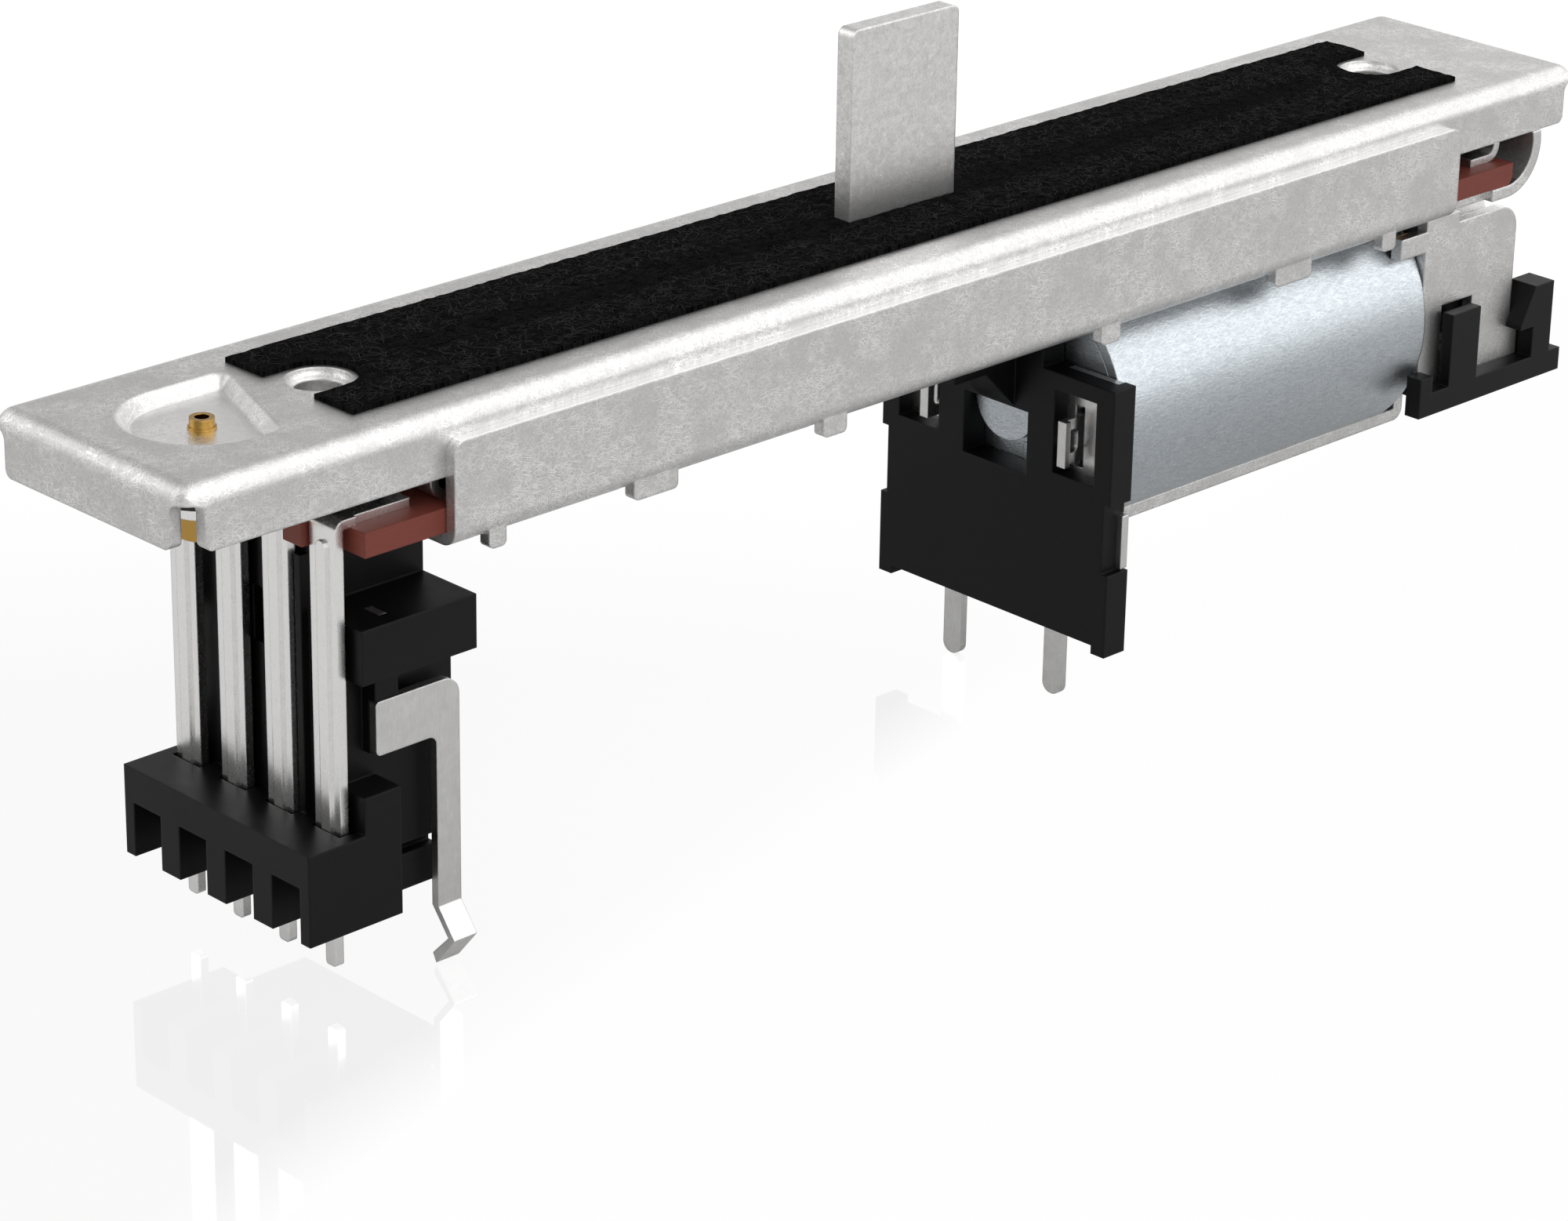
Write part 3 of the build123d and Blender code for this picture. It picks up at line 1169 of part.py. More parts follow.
def make_motor_bracket():
    """Sheet bracket: a cradle under the motor, two uprights and two side plates."""
    half = CRADLE_HALF_WIDTH
    rear_x = (CAN_LEFT - MOUNT_SHEET, CAN_LEFT)
    bracket = block((CAN_LEFT, UPRIGHT_X), (-half, half), (CRADLE_BOTTOM, CRADLE_TOP))
    corner = bracket.faces().sort_by(Axis.X)[-1].edges().filter_by(Axis.Y).sort_by(Axis.Z)[0]
    bracket = fillet(corner, MOUNT_SHEET - FIT)
    bracket += block((UPRIGHT_LEFT, UPRIGHT_X), (-half, half), (CRADLE_TOP, CHEEK_BOTTOM))
    bracket += block((UPRIGHT_LEFT, UPRIGHT_X), (-CHEEK_Y, CHEEK_Y), (CHEEK_BOTTOM, CHEEK_TOP))
    rear_half = REAR_UPRIGHT_HALF_WIDTH
    bracket += block(rear_x, (-rear_half, rear_half), (CRADLE_BOTTOM, REAR_UPRIGHT_TOP))
    bracket += both_sides(cheek())
    bracket -= along_motor(Circle(BEARING_RADIUS + AIR), UPRIGHT_LEFT, UPRIGHT_X)
    screw = lying_bar(SCREW_RADIUS + FIT, UPRIGHT_LEFT, UPRIGHT_X, MOTOR_SCREW_Y, MOTOR_Z)
    return bracket - both_sides(screw)


def make_motor_screws():
    """Two pan-head screws that hold the motor to the upright."""
    screws = []
    for side in (-1, 1):
        y = side * MOTOR_SCREW_Y
        head = lying_bar(SCREW_HEAD_RADIUS, UPRIGHT_X, UPRIGHT_X + SCREW_HEAD, y, MOTOR_Z)
        head = fillet(head.faces().sort_by(Axis.X)[-1].edges(), SCREW_HEAD / 2)
        shank = lying_bar(SCREW_RADIUS, CAN_RIGHT - CAN_WALL, UPRIGHT_X, y, MOTOR_Z)
        slot_x = (UPRIGHT_X + SCREW_HEAD / 2, UPRIGHT_X + SCREW_HEAD)
        slot_z = (MOTOR_Z - AIR, MOTOR_Z + AIR)
        slot = block(slot_x, (y - SCREW_HEAD_RADIUS, y + SCREW_HEAD_RADIUS), slot_z)
        screws.append(head + shank - slot)
    return joined(screws)


def make_gear_cover():
    """Snap-on tray under the gears, with a catch prong and a hook prong on each side."""
    top = CHEEK_BOTTOM
    bottom = top - COVER_FLOOR
    tray_left = UPRIGHT_X + RUNNING
    prong_y = (COVER_Y - PRONG_THICKNESS, COVER_Y)
    cover = block((tray_left, COVER_RIGHT), (-COVER_Y, COVER_Y), (bottom, top))
    lug_y = (COVER_LUG_INNER_Y, COVER_Y)
    side = side_profile(
        (
            (COVER_LEFT, bottom),
            (tray_left, bottom),
            (tray_left, top),
            (COVER_LEFT + UPSTAND_WIDTH, top),
            (COVER_LEFT + UPSTAND_WIDTH, UPSTAND_TOP),
            (COVER_LEFT, UPSTAND_TOP),
        ),
        lug_y,
    )
    side += block((tray_left, tray_left + PRONG_WIDTH), prong_y, (top, PRONG_TOP))
    catch_x = (CATCH_SLOT_LEFT + RUNNING, tray_left + PRONG_WIDTH - RUNNING)
    catch_z = (PRONG_TOP - CATCH_HEIGHT, PRONG_TOP)
    catch = end_profile(
        (
            (prong_y[0], catch_z[0]),
            (prong_y[0], catch_z[1]),
            (CHEEK_Y - MOUNT_SHEET / 2, catch_z[1] - MOUNT_SHEET),
            (CHEEK_Y - MOUNT_SHEET / 2, catch_z[0]),
        ),
        catch_x,
    )
    side += catch
    side += hook_prong(HOOK_REACH, (CHEEK_Y + FIT, COVER_Y))
    side += hook_prong(HOOK_CATCH_REACH, (CHEEK_INNER, CHEEK_Y + FIT))
    return cover + both_sides(side)


def hook_prong(reach, y):
    """Slice of the end prong, with a sloped hook above the foot of the bracket's side plate."""
    low = CHEEK_FOOT_TOP + HOOK_GAP
    tip = HOOK_PRONG_LEFT - reach
    points = (
        (HOOK_PRONG_LEFT, CHEEK_BOTTOM),
        (HOOK_PRONG_RIGHT, CHEEK_BOTTOM),
        (HOOK_PRONG_RIGHT, PRONG_TOP),
        (HOOK_PRONG_LEFT, PRONG_TOP),
        (tip, low + HOOK_LIP),
        (tip, low),
        (HOOK_PRONG_LEFT, low),
    )
    return side_profile(points, y)


def make_terminal(number):
    """Stamped terminal: a strip on the board, a ribbed upright and a narrow pin."""
    y = terminal_y(number)
    half = TERMINAL_WIDTH / 2
    pocket_floor = COMB_TOP - POCKET_DEPTH
    upright = side_profile(
        (
            (TERMINAL_X, pocket_floor + FIT),
            (TERMINAL_BACK, pocket_floor + FIT),
            (TERMINAL_BACK, BOARD_TOP),
            (TERMINAL_STRIP_END, BOARD_TOP),
            (TERMINAL_STRIP_END, TERMINAL_TOP),
            (TERMINAL_X, TERMINAL_TOP, TERMINAL_BEND),
        ),
        (y - half, y + half),
    )
    step_x = (TERMINAL_STEP_X, TERMINAL_STRIP_END)
    upright -= block(step_x, (y - half, y - half + TERMINAL_STEP), (BOARD_TOP, TERMINAL_TOP))
    pin_half = PIN_WIDTH / 2
    pin = end_profile(
        (
            (y - pin_half, PIN_TIP, PIN_TIP_RADIUS),
            (y + pin_half, PIN_TIP, PIN_TIP_RADIUS),
            (y + pin_half, pocket_floor + FIT),
            (y - pin_half, pocket_floor + FIT),
        ),
        (TERMINAL_X, TERMINAL_BACK),
    )
    rib_half = TERMINAL_RIB_WIDTH / 2
    rib = end_profile(
        (
            (y - rib_half, pocket_floor + FIT),
            (y + rib_half, pocket_floor + FIT),
            (y + rib_half, TERMINAL_RIB_TOP, rib_half - FIT),
            (y - rib_half, TERMINAL_RIB_TOP, rib_half - FIT),
        ),
        (TERMINAL_X - TERMINAL_RIB_HEIGHT, TERMINAL_X),
    )
    return upright + pin + rib


def make_terminal_holder():
    """Moulded tower with a comb base; the tower stands flush with the rear flank only."""
    comb_y = (-COMB_HALF_WIDTH, COMB_HALF_WIDTH)
    holder = block((COMB_LEFT, COMB_RIGHT), comb_y, (COMB_BOTTOM, COMB_TOP))
    holder += block((WALL_X, COMB_RIGHT), comb_y, (COMB_TOP, WALL_TOP))
    holder += block(
        (COMB_RIGHT, FLANK_RIGHT), (-FLANK_HALF_WIDTH, FLANK_HALF_WIDTH), (COMB_BOTTOM, FLANK_STEP_Z)
    )
    holder += block(
        (WALL_X, TOWER_RIGHT), (-FLANK_HALF_WIDTH, FLANK_HALF_WIDTH), (FLANK_STEP_Z, LEDGE_BOTTOM)
    )
    holder += block((WALL_X, TOWER_RIGHT), comb_y, (LEDGE_BOTTOM, LEDGE_TOP))
    tower_y = (TOWER_FRONT_Y, FLANK_HALF_WIDTH)
    holder += block((WALL_X, TOWER_RIGHT), tower_y, (LEDGE_TOP, LOWER_UNDERSIDE))
    tower_top_x = (WALL_X, LOWER_LEFT - RUNNING)
    holder += block(tower_top_x, tower_y, (LOWER_UNDERSIDE, BOARD_BOTTOM))
    for place in PEG_PLACES:
        holder += upright_bar(PEG_RADIUS, place, 0, BOARD_BOTTOM, BOARD_TOP + PEG_PROUD)

    notch_y = (-COMB_HALF_WIDTH, -COMB_HALF_WIDTH + CORNER_BLOCK_WIDTH)
    side_cut = block((WALL_X, COMB_RIGHT), (notch_y[0], -FLANK_HALF_WIDTH), (CORNER_BLOCK_TOP, LEDGE_BOTTOM))
    holder -= both_sides(side_cut)
    window_y = (-WALL_WINDOW_HALF_WIDTH, WALL_WINDOW_HALF_WIDTH)
    holder -= block((WALL_X, WALL_X + RIB_DEPTH * 2), window_y, (WALL_WINDOW_BOTTOM, WALL_TOP))
    groove_x = (COMB_RIGHT, FLANK_RIGHT)
    groove_y = (-FLANK_HALF_WIDTH, -FLANK_HALF_WIDTH + GROOVE_DEPTH)
    holder -= both_sides(block(groove_x, groove_y, (GROOVE_BOTTOM, GROOVE_TOP)))
    pad_y = (-FLANK_HALF_WIDTH - PAD_THICKNESS, -FLANK_HALF_WIDTH)
    holder += block((FLAG_LEFT, PAD_RIGHT), pad_y, (FLAG_TOP + FIT, LEDGE_BOTTOM))
    seat_y = (GROUND_Y + GROUND_SHEET + FIT, -FLANK_HALF_WIDTH)
    holder += block((FLAG_LEFT, PAD_RIGHT), seat_y, (FLAG_BOTTOM, FLAG_TOP + FIT))

    rib_x = (WALL_X - RIB_DEPTH, WALL_X)
    rib_y = (TOWER_FRONT_Y, TOWER_FRONT_Y + RIB_WIDTH)
    holder += both_sides(block(rib_x, rib_y, (COMB_TOP, RIB_TOP)))

    pin_half = PIN_WIDTH / 2 + FIT
    for number in range(TERMINAL_COUNT):
        y = terminal_y(number)
        slot_y = (y - COMB_SLOT_WIDTH / 2, y + COMB_SLOT_WIDTH / 2)
        slot_x = (COMB_LEFT, COMB_LEFT + COMB_SLOT_DEPTH)
        holder -= block(slot_x, slot_y, (COMB_BOTTOM, COMB_SLOT_TOP))
        pocket_x = (TERMINAL_X - TERMINAL_RIB_HEIGHT - RUNNING, WALL_X)
        pocket_y = (y - POCKET_WIDTH / 2, y + POCKET_WIDTH / 2)
        holder -= block(pocket_x, pocket_y, (COMB_TOP - POCKET_DEPTH, COMB_TOP))
        pin_x = (TERMINAL_X - FIT, TERMINAL_BACK + FIT)
        holder -= block(pin_x, (y - pin_half, y + pin_half), (COMB_BOTTOM, COMB_TOP))
    return holder - ground_tang(FIT)


def ground_tang(grow):
    """The ground strip's inner end, which stands in the holder and shows on its ledge."""
    inner_face = GROUND_Y + GROUND_SHEET
    x = (TANG_X - grow, TANG_X + GROUND_SHEET + grow)
    y = (inner_face - GROUND_SHEET + AIR - grow, inner_face - GROUND_SHEET + TANG_REACH + grow)
    return block(x, y, (FLAG_BOTTOM - grow, LEDGE_TOP - FIT + grow))


def make_ground_strip():
    """Stamped strip: a flag on the holder's side, a long leg and a kinked solder foot."""
    inner_face = GROUND_Y + GROUND_SHEET
    leg_left = FLAG_RIGHT - LEG_WIDTH
    flag = side_profile(
        (
            (FLAG_LEFT, FLAG_TOP, GROUND_SHEET / 2),
            (FLAG_RIGHT, FLAG_TOP, FLAG_CORNER_RADIUS),
            (FLAG_RIGHT, KINK_TOP),
            (leg_left, KINK_TOP),
            (leg_left, FLAG_BOTTOM, GROUND_SHEET),
            (FLAG_LEFT, FLAG_BOTTOM, GROUND_SHEET / 2),
        ),
        (GROUND_Y, inner_face),
    )
    out_y = GROUND_Y - KINK_OUT
    foot = end_profile(
        (
            (GROUND_Y, KINK_TOP),
            (inner_face, KINK_TOP),
            (out_y + GROUND_SHEET, KINK_Z),
            (inner_face, GROUND_TIP + GROUND_SHEET),
            (inner_face - GROUND_SHEET / 2, GROUND_TIP),
            (out_y, KINK_Z),
        ),
        (leg_left, FLAG_RIGHT),
    )
    return flag + foot + ground_tang(0)


def make_parts():
    """Every node of the fader, by name."""
    parts = {
        "top_channel": make_top_channel(),
        "dust_felt": make_dust_felt(),
        "lower_channel": make_lower_channel(),
        "resistor_board": make_resistor_board(),
        "carbon_tracks": make_carbon_tracks(),
        "end_bracket_left": make_end_bracket_left(),
        "end_bracket_right": make_end_bracket_right(),
        "guide_rod_front": make_guide_rod(-ROD_Y),
        "guide_rod_rear": make_guide_rod(ROD_Y),
        "lever": make_lever(),
        "carriage": make_carriage(),
        "belt_clamp": make_belt_clamp(),
        "wiper_front": make_wiper(-1),
        "wiper_rear": make_wiper(1),
        "drive_belt": make_drive_belt(),
        "idler_pulley": make_idler_pulley(),
        "idler_axle": make_idler_axle(),
        "idler_washer": make_idler_washer(),
        "drive_pulley": make_drive_pulley(),
        "drive_shaft": make_drive_shaft(),
        "shaft_bushing": make_shaft_bushing(),
        "crown_gear": make_crown_gear(),
        "motor_pinion": make_motor_pinion(),
        "motor_shaft": make_motor_shaft(),
        "motor_can": make_motor_can(),
        "motor_end_plate": make_motor_end_plate(),
        "motor_bearing_rear": make_bearing(
            END_BOSS_X + END_PLATE_THICKNESS / 2, END_BOSS_X + END_PLATE_THICKNESS / 2 + BEARING_LENGTH
        ),
        "motor_bearing_front": make_bearing(UPRIGHT_LEFT - BEARING_LENGTH, UPRIGHT_LEFT),
        "motor_magnets": make_motor_magnets(),
        "armature_core": make_armature_core(),
        "armature_windings": make_armature_windings(),
        "commutator": make_commutator(),
        "brush_holder": make_brush_holder(),
        "brushes": make_brushes(),
        "motor_tabs": make_motor_tabs(),
        "motor_contact_front": make_motor_contact(-1),
        "motor_contact_rear": make_motor_contact(1),
        "motor_plate": make_motor_plate(),
        "motor_bracket": make_motor_bracket(),
        "motor_screws": make_motor_screws(),
        "gear_cover": make_gear_cover(),
        "terminal_holder": make_terminal_holder(),
        "ground_strip": make_ground_strip(),
    }
    for number in range(TERMINAL_COUNT):
        parts[f"terminal_{number + 1}"] = make_terminal(number)
    return parts


os.makedirs("parts", exist_ok=True)
for name, part in make_parts().items():
    export_step(part, f"parts/{name}.step")
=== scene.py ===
import bmesh
import bpy
import math
import random
from mathutils import Matrix, Vector


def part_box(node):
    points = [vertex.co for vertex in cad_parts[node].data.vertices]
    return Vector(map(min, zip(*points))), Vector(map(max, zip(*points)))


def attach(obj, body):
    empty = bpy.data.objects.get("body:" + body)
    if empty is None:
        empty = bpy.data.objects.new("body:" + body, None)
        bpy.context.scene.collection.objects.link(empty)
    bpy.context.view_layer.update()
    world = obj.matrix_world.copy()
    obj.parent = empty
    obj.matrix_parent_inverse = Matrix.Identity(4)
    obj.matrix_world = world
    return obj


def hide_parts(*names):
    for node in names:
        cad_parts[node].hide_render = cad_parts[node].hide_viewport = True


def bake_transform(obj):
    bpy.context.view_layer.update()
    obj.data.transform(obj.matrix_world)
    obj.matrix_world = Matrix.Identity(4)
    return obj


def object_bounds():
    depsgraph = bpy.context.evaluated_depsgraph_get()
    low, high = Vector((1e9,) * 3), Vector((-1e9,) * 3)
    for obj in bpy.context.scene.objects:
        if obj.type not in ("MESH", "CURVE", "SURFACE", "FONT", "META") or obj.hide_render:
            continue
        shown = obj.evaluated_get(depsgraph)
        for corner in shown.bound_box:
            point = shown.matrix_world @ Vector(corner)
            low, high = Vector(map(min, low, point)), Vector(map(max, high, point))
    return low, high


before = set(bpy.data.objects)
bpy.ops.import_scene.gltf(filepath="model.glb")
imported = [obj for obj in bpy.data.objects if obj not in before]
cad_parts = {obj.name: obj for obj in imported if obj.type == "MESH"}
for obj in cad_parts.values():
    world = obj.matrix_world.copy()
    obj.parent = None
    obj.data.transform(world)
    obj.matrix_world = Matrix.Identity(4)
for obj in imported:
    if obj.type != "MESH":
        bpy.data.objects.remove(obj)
cad_low, cad_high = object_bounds()
bpy.ops.object.select_all(action="DESELECT")

# Viewpoint: a long lens 0.27 m away, beyond the terminals' end and a little above, rolled by about
# one degree. Its place, angles and length come from edges and corners measured in the photo.
view_from = (-0.18363, -0.17954, 0.08481)
lens_mm, film_width_mm = 114.29, 36.0
azimuth, elevation, roll = (math.radians(angle) for angle in (-44.397, 22.908, 0.992))
bpy.ops.object.camera_add(location=view_from)
camera = bpy.context.object
camera.name = "camera"
turn = Matrix.Rotation(azimuth, 4, "Z") @ Matrix.Rotation(math.pi / 2 - elevation, 4, "X")
camera.matrix_world = Matrix.Translation(view_from) @ turn @ Matrix.Rotation(roll, 4, "Z")
camera.data.lens = lens_mm
camera.data.sensor_width = film_width_mm
camera.data.clip_start = 0.01
camera.data.clip_end = 20.0
bpy.context.scene.camera = camera
bpy.context.scene.view_settings.view_transform = "Standard"

# Floor: a wide sheet of pale coated paper just under the longest pins. To the eye it is white, with
# a soft shadow. Its gloss gives a faint mirror image, and ends a little in front of the object.
floor_width = 6
floor_gap = 0.00004  # between the pins and the sheet, so that no two faces lie in one plane
floor_height = cad_low.z - floor_gap
bpy.ops.mesh.primitive_plane_add(size=floor_width, location=(0, 0, floor_height))
floor = bpy.context.object
floor.name = "studio_floor"


def linear(code):
    """An sRGB hex colour as the linear colour that a shader takes."""
    parts = [int(code[place : place + 2], 16) / 255 for place in (1, 3, 5)]
    return [p / 12.92 if p <= 0.04045 else ((p + 0.055) / 1.055) ** 2.4 for p in parts] + [1.0]


def add_node(tree, kind, values, **settings):
    """Adds a shader node with its settings, and the numbers, colours or links of its inputs.

    Inputs go by name, or by number where several share a name: a Mix node takes its factor as 0,
    two numbers as 2 and 3 or two colours as 6 and 7, and its output 2 is the colour.
    """
    node = tree.nodes.new(kind)
    for name, setting in settings.items():
        setattr(node, name, setting)
    for name, value in values.items():
        if isinstance(value, bpy.types.NodeSocket):
            tree.links.new(value, node.inputs[name])
        else:
            node.inputs[name].default_value = value
    return node


def new_material(name):
    """An empty node material, and its tree."""
    material = bpy.data.materials.new(name)
    material.use_nodes = True
    material.node_tree.nodes.clear()
    return material, material.node_tree


paper, tree = new_material("pale_studio_floor")
rays = add_node(tree, "ShaderNodeLightPath", {})
matt = add_node(tree, "ShaderNodeBsdfDiffuse", {"Color": linear("#E8E8E8")})
white = add_node(tree, "ShaderNodeEmission", {"Color": linear("#FFFFFF"), "Strength": 1.0})
room_share = 0.45  # what a mirror shows of the room's white; the gloss makes up for the rest
mirror = add_node(
    tree, "ShaderNodeBsdfGlossy", {"Color": [1 / room_share] * 3 + [1.0], "Roughness": 0.03}
)
seen = add_node(
    tree,
    "ShaderNodeMath",
    {0: rays.outputs["Is Camera Ray"], 1: rays.outputs["Is Transmission Ray"]},
    operation="MAXIMUM",
)
plain_share = 0.98  # of plain white, as the eye sees the sheet; the rest takes the shadow
plain = add_node(
    tree, "ShaderNodeMath", {0: seen.outputs[0], 1: plain_share}, operation="MULTIPLY"
)
sheet = add_node(
    tree, "ShaderNodeMixShader", {0: plain.outputs[0], 1: matt.outputs[0], 2: white.outputs[0]}
)
forwards = (0.266, -0.964, 0)  # square to the line at which the gloss ends
gloss_whole, gloss_gone, gloss_share = -0.001, 0.0046, 0.13
place = add_node(tree, "ShaderNodeTexCoord", {})
away = add_node(
    tree,
    "ShaderNodeVectorMath",
    {0: place.outputs["Object"], 1: forwards},
    operation="DOT_PRODUCT",
)
fading = add_node(
    tree,
    "ShaderNodeMapRange",
    {
        "Value": away.outputs["Value"],
        "From Min": gloss_whole,
        "From Max": gloss_gone,
        "To Min": gloss_share,
        "To Max": 0.0,
    },
)
polish = add_node(
    tree, "ShaderNodeMath", {0: seen.outputs[0], 1: fading.outputs[0]}, operation="MULTIPLY"
)
top = add_node(
    tree, "ShaderNodeMixShader", {0: polish.outputs[0], 1: sheet.outputs[0], 2: mirror.outputs[0]}
)
add_node(tree, "ShaderNodeOutputMaterial", {"Surface": top.outputs[0]})
floor.data.materials.append(paper)

# Light: a pale room, white up to a little above the horizon. Its wall on the motor's side is bright
# at its foot and again higher up, which gives the bends and the round motor broad highlights. Soft
# boxes light the object and the floor. Heights in the room are sines of the angle of sight.
room = bpy.data.worlds.new("pale_room")
bpy.context.scene.world = room
room.use_nodes = True
tree = room.node_tree
tree.nodes.clear()
rays = add_node(tree, "ShaderNodeLightPath", {})
place = add_node(tree, "ShaderNodeTexCoord", {})
axes = add_node(tree, "ShaderNodeSeparateXYZ", {0: place.outputs["Generated"]})
across = add_node(
    tree, "ShaderNodeMath", {0: axes.outputs["X"], 1: axes.outputs["Y"]}, operation="SUBTRACT"
)
horizon = add_node(
    tree,
    "ShaderNodeMapRange",
    {"Value": axes.outputs["Z"], "From Min": 0.26, "From Max": 0.4, "To Min": 1.0, "To Max": 0.3},
)
bright_wall = add_node(
    tree,
    "ShaderNodeMapRange",
    {"Value": across.outputs[0], "From Min": -0.12, "From Max": 0.9, "To Min": 0.0, "To Max": 1.0},
)
wall_height = add_node(
    tree,
    "ShaderNodeMapRange",
    {"Value": axes.outputs["Z"], "From Min": 0.36, "From Max": 0.54, "To Min": 0.15, "To Max": 1.4},
)
ceiling = add_node(
    tree,
    "ShaderNodeMapRange",
    {"Value": axes.outputs["Z"], "From Min": 0.5, "From Max": 0.85, "To Min": 0.0, "To Max": 0.45},
)
wall_foot = add_node(
    tree,
    "ShaderNodeMapRange",
    {"Value": axes.outputs["Z"], "From Min": 0.14, "From Max": 0.26, "To Min": 0.85, "To Max": 0.0},
)
wall_glow = add_node(
    tree, "ShaderNodeMath", {0: wall_height.outputs[0], 1: wall_foot.outputs[0]}, operation="ADD"
)
walls = add_node(
    tree,
    "ShaderNodeMath",
    {0: bright_wall.outputs[0], 1: wall_glow.outputs[0], 2: horizon.outputs[0]},
    operation="MULTIPLY_ADD",
)
shown = add_node(tree, "ShaderNodeMath", {0: walls.outputs[0], 1: ceiling.outputs[0]})
matt_fill = 0.58  # the room's strength for matt surfaces, at which they keep their written colour
lit = add_node(
    tree,
    "ShaderNodeMix",
    {0: rays.outputs["Is Glossy Ray"], 2: matt_fill, 3: shown.outputs[0]},
    data_type="FLOAT",
)
seen = add_node(
    tree,
    "ShaderNodeMath",
    {0: rays.outputs["Is Camera Ray"], 1: rays.outputs["Is Transmission Ray"]},
    operation="MAXIMUM",
)
strength = add_node(
    tree, "ShaderNodeMix", {0: seen.outputs[0], 2: lit.outputs[0], 3: 1.0}, data_type="FLOAT"
)
sky = add_node(
    tree, "ShaderNodeBackground", {"Color": linear("#FFFFFF"), "Strength": strength.outputs[0]}
)
add_node(tree, "ShaderNodeOutputWorld", {"Surface": sky.outputs[0]})

for name, spot, size, power in (
    ("upper_box", (-0.12, -0.34, 0.42), (0.45, 0.3), 0.7),
    ("motor_side_box", (0.36, -0.3, 0.16), (0.3, 0.1), 0.12),
    ("left_rear_box", (-0.34, 0.36, 0.36), (0.5, 0.4), 0.75),
):
    bpy.ops.object.light_add(type="AREA", location=spot)
    lamp = bpy.context.object
    lamp.name = name
    lamp.data.shape = "RECTANGLE"
    lamp.data.size, lamp.data.size_y = size
    lamp.data.energy = power
    lamp.rotation_euler = Vector(spot).to_track_quat("Z", "Y").to_euler()

# Channels, end brackets and motor bracket: steel sheet 0.5 to 0.75 mm thick, zinc plated, then
# folded, lanced and curled in a press. The plating is pale and cloudy, with marks all over. Level
# faces below the upper one, such as pressed floors and the tops of tabs, are smoother, and their
# colour is painted paler and even, as a painted sheen.
steel, tree = new_material("zinc_plated_steel_sheet")
# Handling marks run in all directions. They are drawn several times too wide, so that they show.
mark_length, mark_width, mark_angles, mark_level = 0.0008, 0.00006, (8, 47, 83, 128, 161), 0.59
crowds_per_mm, specks_per_mm = 0.42, 6


def face_place(tree):
    """Where a point lies in the plane of its own flat face, in metres."""
    place = add_node(tree, "ShaderNodeTexCoord", {})
    face = add_node(tree, "ShaderNodeNewGeometry", {})
    point = add_node(tree, "ShaderNodeSeparateXYZ", {0: place.outputs["Object"]})
    normal = add_node(tree, "ShaderNodeSeparateXYZ", {0: face.outputs["True Normal"]})
    half_turned = 0.7  # a normal's share along an axis at 45 degrees from it
    turned = []
    for axis in ("X", "Z"):
        size = add_node(tree, "ShaderNodeMath", {0: normal.outputs[axis]}, operation="ABSOLUTE")
        most = add_node(
            tree, "ShaderNodeMath", {0: size.outputs[0], 1: half_turned}, operation="GREATER_THAN"
        )
        turned.append(most.outputs[0])
    along = add_node(
        tree,
        "ShaderNodeMix",
        {0: turned[0], 2: point.outputs["X"], 3: point.outputs["Y"]},
        data_type="FLOAT",
    )
    up = add_node(
        tree,
        "ShaderNodeMix",
        {0: turned[1], 2: point.outputs["Z"], 3: point.outputs["Y"]},
        data_type="FLOAT",
    )
    flat = add_node(tree, "ShaderNodeCombineXYZ", {0: along.outputs[0], 1: up.outputs[0]})
    return flat.outputs[0]


def scratches(tree, spot, length, width, angles, level):
    """Straight marks of one length and width in metres, in one set for each angle in degrees.

    The level, 0.5 to 0.7, is where in the noise a mark begins: the higher, the fewer the marks.
    Each set is also moved by its angle, so that no two have their marks at the same places.
    """
    border = 0.14  # the rise in the noise from no mark to a full one
    marks = None
    for angle in angles:
        laid = add_node(
            tree,
            "ShaderNodeMapping",
            {
                "Vector": spot,
                "Location": (angle * length, angle * width, 0),
                "Rotation": (0, 0, math.radians(angle)),
                "Scale": (length, width, 1),
            },
            vector_type="TEXTURE",
        )
        noise = add_node(
            tree,
            "ShaderNodeTexNoise",
            {"Vector": laid.outputs[0], "Scale": 1.0, "Detail": 1.0, "Roughness": 0.4},
            noise_dimensions="2D",
        )
        line = add_node(
            tree,
            "ShaderNodeMapRange",
            {"Value": noise.outputs["Fac"], "From Min": level, "From Max": level + border},
        )
        if marks is None:
            marks = line.outputs[0]
        else:
            marks = add_node(
                tree, "ShaderNodeMath", {0: marks, 1: line.outputs[0]}, operation="MAXIMUM"
            ).outputs[0]
    return marks


marks = scratches(tree, face_place(tree), mark_length, mark_width, mark_angles, mark_level)
place = add_node(tree, "ShaderNodeTexCoord", {})
gather = add_node(
    tree,
    "ShaderNodeTexNoise",
    {
        "Vector": place.outputs["Object"],
        "Scale": 1000 * crowds_per_mm,
        "Detail": 3.0,
        "Roughness": 0.6,
    },
)
crowd = add_node(
    tree,
    "ShaderNodeMapRange",
    {
        "Value": gather.outputs["Fac"],
        "From Min": 0.38,
        "From Max": 0.62,
        "To Min": 0.2,
        "To Max": 0.75,
    },
)
cloud = add_node(
    tree,
    "ShaderNodeTexNoise",
    {
        "Vector": place.outputs["Object"],
        "Scale": 1000 * specks_per_mm,
        "Detail": 6.0,
        "Roughness": 0.8,
    },
)
patch = add_node(
    tree,
    "ShaderNodeMapRange",
    {"Value": cloud.outputs["Fac"], "From Min": 0.45, "From Max": 0.75, "To Max": 0.4},
)
worn = add_node(
    tree,
    "ShaderNodeMath",
    {0: marks, 1: crowd.outputs[0], 2: patch.outputs[0]},
    operation="MULTIPLY_ADD",
    use_clamp=True,
)
